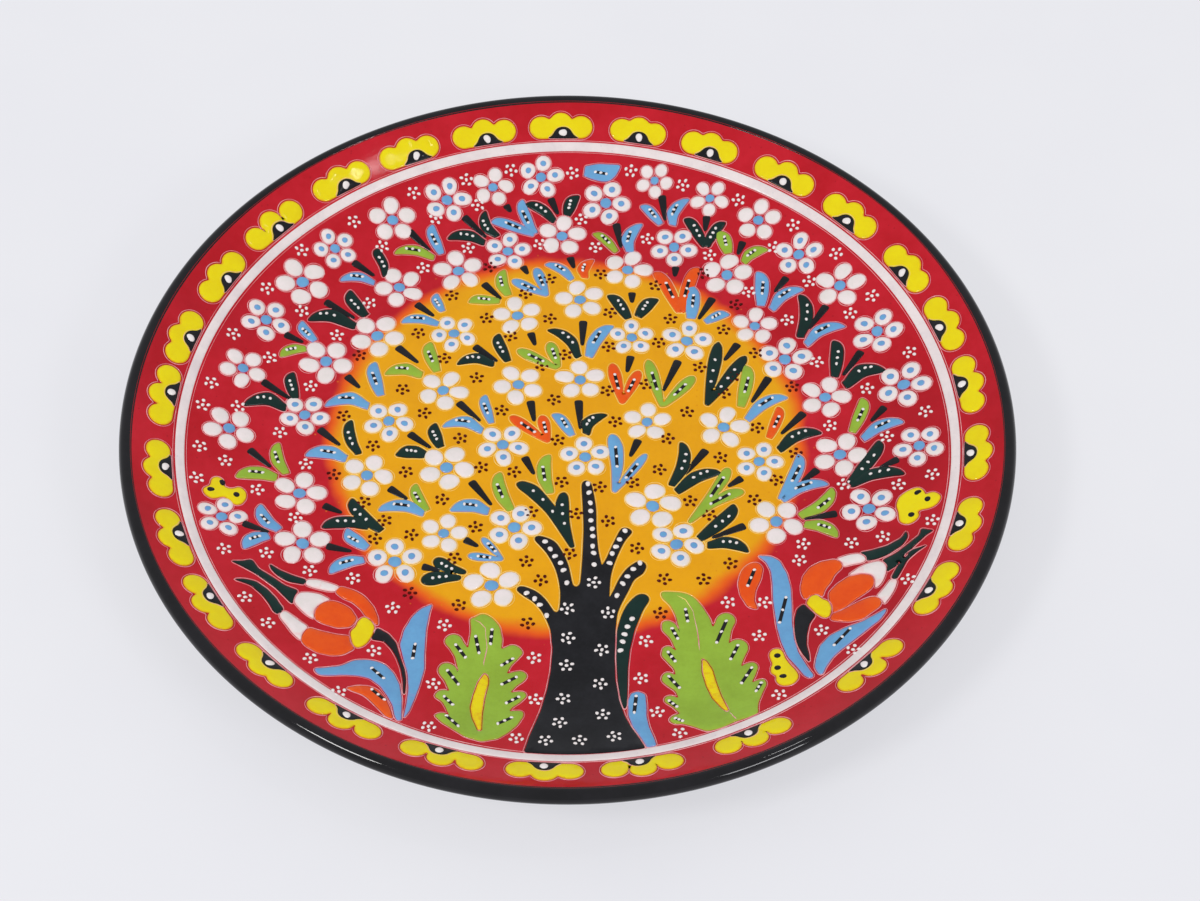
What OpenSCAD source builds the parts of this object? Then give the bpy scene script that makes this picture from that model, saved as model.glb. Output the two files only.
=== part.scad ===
// Raised-enamel dinner plate with a tree of life.
// A turned clay body carries ground colours, and on them lie hundreds of separate enamel drops.
// Lengths are in millimetres, angles in degrees.  The plate stands on its foot ring at z = 0,
// its axis is Z, and the picture's trunk points to -Y.

/* [Clay body] */
// Outer diameter of the finished plate over its rim glaze
plate_d = 300; // [240:1:380]
// Width in plan of the curved wall, from the flat floor out to the rim
wall_w = 70; // [55:1:85]
// Radius of the arc that the curved wall follows
wall_arc_r = 130; // [110:1:170]
// Thickness of the clay, floor and wall alike
body_t = 4.8; // [3.5:0.1:8]
// Outer diameter of the foot ring
foot_d = 172; // [140:1:190]
// Width of the foot ring's resting face
foot_w = 6; // [4:0.5:10]
// Height of the foot ring below the underside of the floor
foot_h = 6; // [5:0.5:10]

/* [Glazes] */
// Thickness of the ground glazes and of the glaze on the back and the lip
glaze_t = 0.3; // [0.2:0.05:0.6]
// Width of the black band on the face, in from the outer edge
band_w = 3.4; // [2:0.1:8]
// Depth of the black band down the outside, along the wall
band_back_w = 9; // [5:0.5:20]
// Width of the red border between the black band and the white ring
border_w = 14.4; // [11:0.1:20]
// Width of the white ring
ring_w = 3.3; // [2:0.1:6]

/* [Enamel relief] */
// Thickness of the trunk, tulips and other large enamel fields
field_t = 0.45; // [0.3:0.05:0.8]
// Thickness of petals and leaves
drop_t = 0.45; // [0.3:0.05:0.8]
// Thickness of painted spots and dashes
spot_t = 0.15; // [0.1:0.05:0.3]
// Height of a pearl or a seed
pearl_t = 0.35; // [0.2:0.05:0.6]
// Clearance under a small drop
small_seat = 0.05; // [0.03:0.01:0.1]
// Clearance under a leaf, which is flat on a curved wall
leaf_seat = 0.25; // [0.2:0.01:0.4]
// Clearance between two fields of enamel, side by side
field_gap = 0.25; // [0.1:0.05:0.6]

/* [Painted sizes] */
// Radius of the sun disc behind the tree
sun_r = 83; // [60:1:100]
// Diameter of a seed dot
seed_d = 1.25; // [0.8:0.05:1.8]
// Distance of a cluster's outer seeds from its middle one
seed_ring = 1.9; // [1.5:0.05:2.6]
// Diameter of a pearl on a branch
branch_pearl_d = 1.8; // [1:0.1:2.6]
// Diameter of a pearl on a leaf
leaf_pearl_d = 1.1; // [0.8:0.05:1.6]
// Diameter of the pearl in a border flower
flower_pearl_d = 2.7; // [2:0.1:3.4]

/* [Hidden] */
$fn = 96;
big_fn = 256;
eps = 0.01;

plate_r = plate_d / 2;
floor_r = plate_r - wall_w;
floor_z = foot_h + body_t;
arc_z = floor_z + wall_arc_r;
lip_r = body_t / 2;
lip_mid_r = plate_r - glaze_t - lip_r;
lip_turn = asin((lip_mid_r - floor_r) / (wall_arc_r + lip_r));
lip_x = floor_r + (wall_arc_r + lip_r) * sin(lip_turn);
lip_z = arc_z - (wall_arc_r + lip_r) * cos(lip_turn);
band_r = plate_r - band_w;
ring_out_r = band_r - border_w;
ring_in_r = ring_out_r - ring_w;
tall = foot_h + body_t + wall_arc_r;

// The picture is laid out for a well of this radius, and is scaled to the plate's own well.
layout_r = 129;
s = ring_in_r / layout_r;
// The border flowers are laid out for a border of this width.
layout_border = 14.4;
sb = border_w / layout_border;
flower_mid_u = 5.2; // middle of a flower, out from the white ring
flower_gap = 0.8; // strip of red between a flower and the white ring
flower_lobe_r = 4.3; // radius of a flower's three lobes
flower_top_u = 1.2; // how far the middle lobe stands out
flower_side_u = -0.2; // how far the side lobes stand out
flower_pearl_u = -2.2; // where the pearl lies between the heart's feet

// Levels above the clay: grounds, stems, drops, spots and pearls never share a height.
stem_lift = glaze_t + small_seat;
stem_t = 0.15;
drop_lift = glaze_t + leaf_seat;
drop_top = drop_lift + drop_t;
spot_lift = drop_top + small_seat;
pearl_lift = spot_lift + spot_t + small_seat;
field_top = glaze_t + small_seat + field_t;

// ---- Where things lie on the dish ----
function rise(r) = r <= floor_r ? 0 : wall_arc_r - sqrt(pow(wall_arc_r, 2) - pow(r - floor_r, 2));
function slope(r) = r <= floor_r ? 0 : asin((r - floor_r) / wall_arc_r);
function polar(r, a) = [r * cos(a), r * sin(a)];

// Lays a small flat piece on the dish at plan point p, tilted to the wall, at a height above the clay.
module seat(p, lift) {
  r = norm(p);
  a = atan2(p[1], p[0]);
  translate([p[0], p[1], floor_z + rise(r)])
    rotate([0, 0, a]) rotate([0, -slope(r), 0]) translate([0, 0, lift]) rotate([0, 0, -a]) children();
}

// ---- Shells that follow the dish ----
module wedge_2d(turn_a, turn_b) {
  reach = 2 * wall_arc_r;
  translate([floor_r, arc_z])
    polygon([[0, 0], reach * [sin(turn_a), -cos(turn_a)], reach * [sin(turn_b), -cos(turn_b)]]);
}

// A coat on the curved wall between two turns of the arc, from depth_a to depth_b outward of the face.
module wall_coat_2d(depth_a, depth_b, turn_a, turn_b) {
  intersection() {
    difference() {
      translate([floor_r, arc_z]) circle(r = wall_arc_r + depth_b, $fn = big_fn);
      translate([floor_r, arc_z]) circle(r = wall_arc_r + depth_a, $fn = big_fn);
    }
    wedge_2d(turn_a, turn_b);
  }
}

module floor_coat_2d(depth_a, depth_b, from_r, to_r) {
  translate([from_r, floor_z - depth_b]) square([to_r - from_r, depth_b - depth_a]);
}

module face_coat(lift_a, lift_b, to_r) {
  rotate_extrude($fn = big_fn) {
    floor_coat_2d(-lift_b, -lift_a, 0, floor_r + eps);
    wall_coat_2d(-lift_b, -lift_a, 0, slope(to_r));
  }
}

module face_ring(lift_a, lift_b, from_r, to_r) {
  rotate_extrude($fn = big_fn) wall_coat_2d(-lift_b, -lift_a, slope(from_r), slope(to_r));
}

// A field of enamel: a vertical prism over a plan outline, cut to a coat that follows the dish.
module field(lift, thick) {
  intersection() {
    face_coat(lift, lift + thick, ring_in_r - field_gap);
    linear_extrude(height = tall) children();
  }
}

// ---- Clay and ground glazes ----
module clay_body() color("peru") rotate_extrude($fn = big_fn) {
  floor_coat_2d(0, body_t, 0, floor_r + eps);
  wall_coat_2d(0, body_t, 0, lip_turn);
  translate([lip_x, lip_z]) circle(r = lip_r);
  translate([foot_d / 2 - foot_w, 0]) square([foot_w, foot_h + lip_r]);
}

band_turn = slope(band_r);
band_back_turn = lip_turn - band_back_w / (wall_arc_r + body_t) * 180 / PI;
foot_turn = slope(foot_d / 2 + glaze_t);

module rim_glaze() color("#161518") rotate_extrude($fn = big_fn) {
  wall_coat_2d(-glaze_t, 0, band_turn, lip_turn);
  wall_coat_2d(body_t, body_t + glaze_t, band_back_turn, lip_turn);
  intersection() {
    difference() {
      translate([lip_x, lip_z]) circle(r = lip_r + glaze_t);
      translate([lip_x, lip_z]) circle(r = lip_r);
    }
    wedge_2d(lip_turn, 90);
  }
}

module back_glaze() color("#2a1417") rotate_extrude($fn = big_fn) {
  floor_coat_2d(body_t, body_t + glaze_t, 0, foot_d / 2 - foot_w);
  wall_coat_2d(body_t, body_t + glaze_t, foot_turn, band_back_turn);
}

module border_ground() color("#c3192a") face_ring(0, glaze_t, ring_out_r, band_r);
module ring_band() color("#e8e4e4") face_ring(0, glaze_t + small_seat, ring_in_r, ring_out_r);

sun_mid = [-1, 3];
module sun_column() translate([s * sun_mid[0], s * sun_mid[1], 0]) cylinder(h = tall, r = s * sun_r, $fn = big_fn);

module well_ground() color("#c3192a") difference() {
  face_coat(0, glaze_t, ring_in_r);
  sun_column();
}

module sun_ground() color("#eca000") intersection() {
  face_coat(0, glaze_t, ring_in_r);
  sun_column();
}

// ---- Border flowers ----
// Angle of each flower's heart, then where its first and last petal end, anticlockwise from +X.
FLOWERS = [
  [8.2, 2.8, 12.9], [19.2, 14.5, 24.4], [30.9, 26.4, 35.7], [43.8, 39.1, 48.9],
  [56.1, 51.4, 61.4], [68.6, 64.6, 73.5], [80, 76, 84.6], [91.8, 87.3, 96.9],
  [103.6, 99, 108.8], [115, 111.1, 120.6], [127.2, 122.6, 132.3], [140.2, 135.2, 145.9],
  [152.6, 148, 157.8], [164.9, 160.5, 170], [175.3, 170.8, 181.4], [188.8, 184.2, 194.2],
  [200.9, 196.4, 206.6], [212.6, 208.3, 218.8], [226.7, 221.8, 231.4], [240.2, 234.8, 245.8],
  [253.8, 248.8, 260], [267.8, 262.9, 273], [280.4, 275.2, 286], [295.5, 290.4, 301.2],
  [314.9, 309.5, 320.9], [330.4, 326.1, 336], [342.9, 338.1, 347.6], [355.6, 350.7, 360.4]];

// A plan frame on the border at angle a: u runs outward and v runs round the plate.
module on_border(a, lift) seat(polar(ring_out_r + sb * flower_mid_u, a), lift) rotate([0, 0, a]) children();

// Petals and hearts: round lobes on a straight base that runs along the white ring.
module flower_2d(half) {
  lobe_r = flower_lobe_r * sb;
  base_u = (flower_gap - flower_mid_u) * sb;
  for (side = [-1, 1]) translate([flower_side_u * sb, side * (half - lobe_r)]) circle(r = lobe_r, $fn = 32);
  translate([flower_top_u * sb, 0]) circle(r = lobe_r, $fn = 32);
  translate([base_u, -(half - lobe_r)]) square([-base_u, 2 * (half - lobe_r)]);
}

module heart_2d() polygon(sb * [[-4.3, -5.6], [-3, -3.8], [-1.6, -3.1], [-0.3, -1.8], [0.1, 0],
                               [-0.3, 1.8], [-1.6, 3.1], [-3, 3.8], [-4.3, 5.6]]);

module border_flowers() color("#e4d40c") for (f = FLOWERS) {
  span = f[2] - f[1];
  on_border(f[1] + span / 2, drop_lift) linear_extrude(height = drop_t)
    flower_2d((ring_out_r + sb * flower_mid_u) * sin(span / 2));
}

module flower_hearts() color("#1c1c1e") for (f = FLOWERS)
  on_border(f[0], spot_lift) linear_extrude(height = spot_t) heart_2d();

module flower_pearls() color("#e8e4e4") for (f = FLOWERS)
  on_border(f[0], pearl_lift) translate([flower_pearl_u * sb, 0, 0]) cylinder(h = pearl_t, d = flower_pearl_d * sb, $fn = 32);

// ---- Tree ----
// Outline of the trunk and its five branches, from the left foot round to the right foot.
TRUNK = [
  [-12, -130], [-10, -120], [-6.8, -108.5], [-5, -99.5], [-4, -91.7], [-3.6, -83], [-4.5, -75.4],
  [-7.3, -68.5], [-10.5, -64.5], [-13.6, -62.2], [-15.9, -59.9], [-15.4, -58.6], [-13.6, -58.5],
  [-9.5, -60.4], [-6.4, -63.5], [-3.6, -68.1], [-2.7, -68.8], [-1.8, -67.6],
  [-1.6, -60], [-3.2, -51.7], [-6.4, -44.9], [-10.5, -39.5], [-10.2, -38.1], [-8.6, -37.9],
  [-4.1, -39.9], [-1.4, -44], [0.8, -49.5], [2.5, -57.6], [3.6, -58.5], [4.8, -57.2],
  [5.4, -48.5], [5.7, -34.9], [5.3, -25.8], [4.8, -16.8], [5.2, -15], [6.4, -14.5], [7.7, -15.2],
  [8.4, -17.5], [9.7, -25.8], [10, -34.9], [10.8, -44], [11.9, -49.7],
  [13.2, -47.2], [15, -42.2], [17.3, -36.3], [18.4, -34.3], [20, -34], [22, -35.6],
  [19.5, -39.5], [17.3, -44.9], [15.5, -50.8], [14.8, -55], [14.5, -62.6],
  [15.9, -59.5], [17.7, -54.9], [20.5, -50.4], [24.1, -47.6], [25.9, -48.1], [26.6, -49.6],
  [25.5, -52.6], [22.7, -55.1], [20.6, -60], [18.3, -65.4], [17.2, -69], [16.6, -76], [16.4, -86],
  [16.7, -95], [18, -104], [19.8, -111], [21.6, -115.5], [24, -120.5], [28, -130]];
// Middle of each cluster of pearls on the trunk.
TRUNK_CLUSTERS = [[9.3, -56.7], [0.9, -67.2], [14.2, -68.8], [1.2, -78.8], [12.3, -83.3], [1, -89.8],
                  [11.8, -97.2], [0.3, -103.7], [12.8, -110.6], [-0.8, -114.2], [16.6, -120.6],
                  [5.6, -122.4], [-5, -122.6]];
// Rows of pearls along the branches, from each tip down.
BRANCH_ROWS = [
  [[-12.6, -61.3], [-9.9, -63.5], [-8.2, -65.9], [-5.8, -70.1]],
  [[-7, -40.4], [-5.2, -43.4], [-3.6, -46.3], [-1.7, -49], [-0.7, -51.9], [0.5, -57]],
  [[6.9, -16.1], [7.3, -19.8], [7.8, -24.1], [8, -27.5], [8.1, -31.4], [8.6, -34.9], [8.8, -37.9],
   [8.8, -42], [9.2, -44.8], [9.4, -49.5]],
  [[19.5, -35.5], [17.7, -39.1], [16.5, -42.1], [15.3, -44.9], [14.5, -48.8]],
  [[24.5, -48.6], [22.3, -51.1], [20.4, -54.1], [18.9, -57], [17, -61.8]]];
SIDE_LEAF = [[23.5, -61.4], [25.2, -60.8], [27, -61.5], [27.6, -63.2], [25.5, -67.5], [22.8, -75.4],
             [21.3, -83], [20.7, -90.4], [20.6, -98.6], [20.4, -106], [19.6, -108], [18.4, -103.6],
             [17.4, -95], [17, -86], [17.2, -75.5], [18.6, -69.3], [20.6, -64.8]];
SIDE_LEAF_PEARLS = [[22, -71], [20.5, -74.1], [19.6, -77.1], [19, -80], [18.3, -83.5]];
FOOT_LEAF = [[21.8, -101], [24, -100.2], [26.2, -101.4], [26.6, -106], [26.6, -111], [27.4, -116],
             [29, -121.5], [30.6, -130], [28.4, -130], [24.9, -121], [22.2, -115.4], [20.9, -110.5],
             [20.8, -104]];
FOOT_LEAF_MARK = [[23.4, -102.6], [22.8, -109.8]];

module outline(points) polygon(s * points);

module tree_trunk() color("#1c1c1e") field(glaze_t + small_seat, field_t) outline(TRUNK);

module trunk_side_leaf() color("#142d28") field(glaze_t + small_seat, field_t) outline(SIDE_LEAF);

module trunk_foot_leaf() color("#5fa5e1") field(glaze_t + small_seat, field_t) outline(FOOT_LEAF);

module dot(p, lift, high, d) seat(s * p, lift) cylinder(h = high, d = s * d, $fn = 32);

// One seed in the middle and five round it, turned a little differently in each cluster.
module cluster(p, lift, turn) {
  dot(p, lift, pearl_t, seed_d);
  for (k = [0:4]) dot(p + polar(seed_ring, turn + 72 * k), lift, pearl_t, seed_d);
}

module trunk_pearls() color("#e8e4e4") for (i = [0:len(TRUNK_CLUSTERS) - 1])
  cluster(TRUNK_CLUSTERS[i], field_top + small_seat, 47 * i);

module branch_pearls() color("#e8e4e4") {
  for (row = BRANCH_ROWS, p = row) dot(p, field_top + small_seat, pearl_t, branch_pearl_d);
  for (p = SIDE_LEAF_PEARLS) dot(p, field_top + small_seat, pearl_t, branch_pearl_d);
}

// ---- Blossoms ----
// Each row is the middle, the turn of its first petal, its overall radius, and 1 for spotted petals.
BLOSSOMS = [
  [-84.5, 83.3, 50, 7.8, 1], [-95, 67.8, 52, 9.4, 0], [-64.8, 97.7, 27, 8.6, 0],
  [-45.7, 107.8, 10, 8.6, 1], [-29.3, 114.2, 10, 7.4, 0], [-12, 119, 10, 8.2, 1],
  [-3.9, 95.1, 12, 8.6, 0], [-23.2, 87.8, 12, 8.2, 1], [-40.5, 78.3, 30, 8.8, 0],
  [-61.1, 69.9, 45, 8.5, 0], [11.7, 109.2, -5, 8.9, 1], [29.3, 117.6, -15, 6.8, 0],
  [49.3, 109.6, 50, 7, 0], [66.6, 99.4, 6, 8, 0], [36.4, 90.3, 55, 8.4, 1],
  [19.8, 80.1, 0, 8.7, 0], [55.2, 77.6, 10, 9, 0], [3, 65.8, 30, 8.8, 0],
  [80.7, 84, 11, 8.5, 1], [94.8, 69.4, 6, 8.8, 0], [-106.4, 49.9, 57, 8.5, 1],
  [-112.7, 28.3, 53, 8, 0], [-84.8, 35.5, -15, 9.3, 0], [-67.7, 47.8, -9, 9.4, 0],
  [-90.5, 11.7, 60, 8.5, 1], [-115.2, 2.1, 54, 8.8, 0], [-61.6, 9.9, 60, 8.8, 1],
  [-40.9, 49.4, -25, 8.2, 1], [-18.9, 58, 30, 8.6, 0], [-43.6, 23.7, -8, 8.7, 0],
  [-17.7, 26.7, -26, 8.7, 0], [21.4, 48.7, 20, 8, 1], [40.7, 47.4, 9, 9, 1],
  [3.6, 29.2, 22, 8.6, 0], [26.8, 11, 14, 8.2, 0], [53, 9.2, 5, 8.8, 0],
  [64.6, 54.6, 13, 8, 0], [74.8, 39.6, 10, 9.4, 1], [107, 48.5, -5, 8.9, 1],
  [88.2, 22.6, 0, 8.7, 0], [115, 24.6, -8, 9.3, 1], [-114.2, -36.3, 12, 8.2, 1],
  [-89.8, -22, 6, 9, 0], [-87.2, -43.2, 23, 9.3, 0], [-67.7, -13.6, -4, 8.9, 0],
  [-41, -9.8, -7, 9.5, 0], [-22.3, 0.3, -14, 8.8, 1], [-40.8, -37.4, 4, 8, 0],
  [-17.4, -34.5, -2, 9.2, 1], [-56.4, -49.2, 21, 9.3, 1], [-24.2, -58.3, 23, 9.5, 0],
  [5.8, -4.5, 23, 8.7, 1], [28.7, -24.9, 12, 9.6, 0], [36.6, -40.6, -5, 9.2, 1],
  [64.8, -5.4, -1, 8.3, 1], [92.3, -2.4, -7, 9.2, 0], [118.8, -2.2, -27, 8.6, 1],
  [70, -30.6, -20, 9.2, 0], [101, -26.5, -29, 9.3, 1]];
petal_reach = 0.63; // petal middle, in blossom radii
petal_size = 0.355; // petal radius, in blossom radii
centre_size = 0.245; // blue centre's radius, in blossom radii
spot_size = 0.15; // blue spot's radius, in blossom radii

function blossom_mid(b) = [b[0], b[1]];
function petal_mid(b, k) = blossom_mid(b) + polar(petal_reach * b[3], b[2] + 72 * k);

module blossom_petals() color("#e8e4e4") for (b = BLOSSOMS, k = [0:4])
  dot(petal_mid(b, k), drop_lift, drop_t, 2 * petal_size * b[3]);

module blossom_centres() color("#5fa5e1") for (b = BLOSSOMS)
  dot(blossom_mid(b), drop_lift, drop_t, 2 * centre_size * b[3]);

module petal_spots() color("#5fa5e1") for (b = BLOSSOMS, k = [0:4]) if (b[4] == 1)
  dot(petal_mid(b, k), spot_lift, spot_t, 2 * spot_size * b[3]);

// Stems run from the blossom, where they are wide, to a fine end.
STEMS = [
  [[-78, 79], [-70, 74]], [[-58.9, 94.2], [-50.9, 86.5]], [[-39.5, 101.9], [-31.1, 93.5]],
  [[-24.5, 107.6], [-22.5, 104.6]], [[-8.4, 111], [-5.5, 104.2]], [[-17.7, 81.2], [-15.7, 77.4]],
  [[-31.4, 72.8], [-24.8, 65.5]], [[-0.9, 85.8], [0.7, 80.5]], [[-54.8, 62.8], [-48.2, 57.2]],
  [[15.5, 100.8], [17.5, 90.1]], [[32, 111.9], [33.2, 101.5]], [[48.2, 102.8], [47.5, 96.5]],
  [[61.1, 91.5], [59.1, 86]], [[37, 81.7], [36.6, 77.1]], [[21.4, 69.6], [21.4, 64.6]],
  [[50, 67.4], [44.8, 57.4]], [[76.4, 75.3], [71.8, 69.2]], [[90, 61.9], [83.2, 52.4]],
  [[-86.8, 61.2], [-75.9, 55.1]], [[-99.8, 45.3], [-93, 42.8]], [[-105.9, 24.2], [-95.5, 18]],
  [[-77.3, 29.6], [-72.3, 24.2]], [[-85.2, 6], [-77.5, -1]], [[-60.5, 43], [-52.7, 35.8]],
  [[-33.6, 43.7], [-25.2, 36.9]], [[-14.1, 50.3], [-12.3, 44.4]], [[4.3, 56], [4.1, 44.6]],
  [[-38.2, 18.5], [-30.2, 10.3]], [[-13.4, 19.6], [-11.8, 10.5]], [[-54.4, 4.6], [-46.6, -1.6]],
  [[21.1, 40.3], [19.8, 32.8]], [[37.7, 38.5], [32.3, 24.6]], [[58.6, 46.5], [53.6, 38.7]],
  [[69.1, 31.5], [62.7, 20.1]], [[3.2, 20.1], [4.1, 7.4]], [[23.9, 3.3], [21, -4.2]],
  [[101.4, 41.2], [94.5, 31.5]], [[80.7, 16], [72.5, 6.5]], [[108.4, 16.5], [103.2, 10.8]],
  [[-108, -5.5], [-100, -12]], [[-81.5, -26.5], [-75, -29.5]], [[-107.3, -37.5], [-98.3, -39.8]],
  [[-79.3, -43.5], [-70.8, -45.3]], [[-32.5, -15.5], [-25.2, -25.5]], [[-60, -18.8], [-53.4, -23.5]],
  [[-33.8, -39.7], [-29, -42.6]], [[-14.8, -4.8], [-11.3, -12.3]], [[-47.3, -51], [-41.3, -52.6]],
  [[46.9, -0.7], [39.4, -11.6]], [[58.9, -12.5], [54, -16.3]], [[59.5, -32.5], [48.3, -37.8]],
  [[84.6, -8.5], [78.9, -14]], [[111.8, -6.5], [105, -9.5]], [[90.3, -27.5], [79.2, -29.4]]];
stem_w = 3; // width of a stem at its blossom
stem_end_w = 1.1; // width of its fine end

function unit(v) = v / norm(v);
function side_of(v) = [-v[1], v[0]];

module blossom_stems() color("#1c1c1e") for (st = STEMS) {
  mid = (st[0] + st[1]) / 2;
  across = side_of(unit(st[1] - st[0])) / 2;
  seat(s * mid, stem_lift) linear_extrude(height = stem_t) polygon(s * [
    st[0] + stem_w * across - mid, st[1] + stem_end_w * across - mid,
    st[1] - stem_end_w * across - mid, st[0] - stem_w * across - mid]);
}

// ---- Leaves ----
// Each leaf is its width, then its spine: tip, middle where the leaf bends, and root.
DARK_LEAVES = [
  [3.4, [-71.6, 84.6], [-67.6, 79.8], [-66.4, 74.2]], [4, [-32.5, 103.7], [-31.6, 98.3], [-27, 94.4]],
  [4.4, [-44.3, 93.5], [-37.7, 94.2], [-31.8, 91]], [4, [-16.6, 109], [-11.4, 106.5], [-6.8, 101.2]],
  [4.6, [-0.5, 112.4], [-2.3, 103.9]], [4, [42, 102.8], [47.5, 90.1]], [4, [53, 100.5], [47.5, 90.1]],
  [4.6, [15, 68.7], [20.2, 57.4]], [5, [28.2, 67.4], [23.6, 58.3]],
  [4.6, [82, 67], [83.2, 59.2], [80.2, 49.2]], [4.8, [-80, 65.1], [-72.3, 56.5]],
  [5, [-90.5, 52.8], [-85.5, 56], [-75.7, 51.5]], [4.2, [-97.7, 28.7], [-94.1, 18.3]],
  [5, [-110, 13.7], [-104.5, 17.4], [-97.3, 13.7]], [4, [-76, 9.5], [-74.2, 1.5], [-70.8, -4.5]],
  [4.2, [-27, 48.5], [-21.6, 37.1]], [4.4, [-38.2, 36], [-33.6, 38.7], [-26.6, 35.5]],
  [4.2, [-7, 52.1], [-0.5, 47.8], [2.7, 39.2]], [4.5, [-47.5, 8], [-43.4, -1.2]],
  [4.6, [51.8, 47.4], [47.3, 18.7]], [4.6, [61.4, 41.2], [47.3, 18.7]],
  [4.4, [11.8, 14], [6.8, 10.8], [6.4, 5.4]], [4.6, [94.1, 46.2], [91.8, 31.2]],
  [5.4, [107.5, 31.5], [102, 33.6], [95.2, 26.9]], [4.8, [85.2, 7.8], [78.2, 6.6], [71.8, -0.5]],
  [4.6, [-73.5, -25], [-68.6, -30.6], [-61.5, -36.7]], [4.8, [-80.8, -34], [-73.2, -33], [-65, -34.4]],
  [5.6, [-57.3, -3.2], [-53, -3], [-48.6, -4.6]], [5, [-17.3, -16.2], [-7.5, -23.8], [2.2, -42.5]],
  [4.6, [-0.9, -19.5], [-1.3, -29.5], [2.2, -42.5]], [4.8, [-43, -47.5], [-39, -51.2], [-32.8, -53.2]],
  [5.4, [-47.3, -57.2], [-41, -55.3], [-34.4, -55.4]], [4.4, [39.7, 1.8], [39.4, -6.5], [35, -16.2]],
  [4.8, [50.5, -10.4], [44.5, -11.4], [36.8, -18.8]], [5, [57.5, -25.6], [51.6, -31.4], [44.2, -38.2]],
  [4.8, [60, -41.8], [54, -39.4], [47, -41]], [4.6, [107.5, 0.8], [95, -15.1]],
  [4.6, [112.8, -12], [104.8, -11.2], [95, -15.1]]];
BLUE_LEAVES = [
  [3.6, [-81.6, 71.5], [-76, 73.3], [-70, 70.8]], [4, [-52.3, 96.5], [-46.8, 85.5]],
  [4, [-20.2, 109], [-13.9, 95.6]], [4, [-28.6, 102], [-13.9, 95.6]], [4, [-13, 80.5], [-8.6, 67.5]],
  [4, [-21.4, 74.6], [-8.6, 67.5]], [3.8, [-8.6, 82.4], [-4.1, 80.5], [0, 75.1]],
  [3.6, [-49.3, 66.7], [-45.3, 59.5]], [4, [-58.9, 55.1], [-53.6, 56.2], [-46.6, 53.5]],
  [4.8, [23.4, 100.1], [19.8, 94.6], [20.9, 88.3]], [3.6, [25.9, 108.7], [31.6, 100.1]],
  [4.4, [40.5, 109.9], [36.2, 105.5], [36.1, 99.6]], [5.4, [43.6, 72.8], [42.3, 57.8]],
  [4, [54.5, 61.5], [47.2, 56.2]], [5, [68.4, 77.8], [67, 63.7]],
  [4.5, [80.9, 69.9], [75, 68.3], [70.9, 61.7]], [4.5, [95.2, 53.3], [87.7, 52], [82.5, 45.8]],
  [4, [-95.7, 50.1], [-89.1, 44]], [4.6, [-69.8, 34.9], [-65, 21]],
  [5, [-82.7, 16.9], [-76.4, 20], [-69.1, 16]], [5, [13, 54.2], [8.8, 48], [6.6, 39.6]],
  [3.6, [-30.5, 21.2], [-26.4, 9.6]], [4.4, [-42, 8.3], [-36, 10.5], [-29.6, 5.9]],
  [4, [-3.9, 14.6], [1.2, 4.6]], [4.5, [74.1, 23.3], [67.3, 20.4], [61.1, 12.4]],
  [4.6, [113.2, 9.6], [106.8, 9], [100.3, 3.6]], [5.4, [-88, -4], [-81, -3.8], [-75.4, -7]],
  [5, [-103, -30], [-100.2, -35], [-95.2, -38]], [5, [-106.8, -46.5], [-102.6, -42.9], [-98.3, -41.6]],
  [4.8, [-74.4, -38.6], [-70.4, -40.6], [-65.8, -43.8]], [4.6, [-77.8, -53], [-72, -49.6], [-66.6, -48.9]],
  [5.4, [-38, -26.5], [-32, -25.4], [-26.4, -28.4]], [4.8, [-62.2, -27], [-55, -25.8], [-47.9, -29.4]],
  [2.8, [-28, -38.9], [-20.8, -47.8]], [3.2, [-32.5, -46.3], [-20.8, -47.8]],
  [5, [14.5, 5.5], [16.6, -5], [15.8, -19.3]], [3.2, [26.8, -2.6], [15.8, -19.3]],
  [4.4, [80, -3], [77, -11], [71.8, -21.4]], [4.2, [87, -13.8], [79, -15.6], [71.8, -21.4]],
  [7, [15.6, 119.4], [9.4, 121], [4, 121.6]]];
GREEN_LEAVES = [
  [3.9, [-63, 85.3], [-56.8, 86.6], [-49.5, 83.5]], [4.4, [-25, 78.3], [-25.2, 73.4], [-22.3, 67.4]],
  [4, [-35.9, 66], [-25.4, 64.6]], [3.4, [8.4, 97.1], [12, 93.6], [15.7, 88.3]],
  [5, [53.9, 96.5], [55.7, 86.9]], [4.5, [68.6, 88.3], [63.6, 86.2], [61.4, 82.4]],
  [4, [-100.5, 36.9], [-97, 39.4], [-92, 40.1]], [4.5, [-50.9, 44.2], [-46.1, 32.1]],
  [5, [-62.7, 31.2], [-58, 33.4], [-51.4, 30.1]], [4.2, [-18.6, 42.4], [-4.3, 34.2]],
  [4.2, [-7.3, 46], [-3.9, 34.6]], [4.2, [27, 38.7], [32, 17.8]], [4.4, [43.2, 31.5], [32.5, 18.2]],
  [4.6, [63, 36], [59.1, 18.3]], [4.4, [102.7, 20.1], [96.8, 6.9]],
  [4.3, [-99.5, -2.2], [-98.6, -8], [-94.8, -14]], [5.4, [-110.6, -16.4], [-104.5, -14.8], [-97.9, -16.4]],
  [4.6, [-24.4, -12.5], [-22.6, -20], [-18.6, -27.4]], [4, [-52.2, -18], [-50.2, -23], [-46.7, -28]],
  [4.8, [-8.2, -4.3], [-8.1, -12.5], [-5.6, -20]], [4, [54.2, -8.2], [50.4, -17], [40.9, -31.6]],
  [4.2, [59.6, -18.4], [50.8, -21.8], [41.3, -31.1]], [4.8, [89.6, -18], [86, -23.6], [77.9, -28.2]],
  [4.8, [90, -36], [85.6, -32.6], [79.4, -31.9]]];
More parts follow.
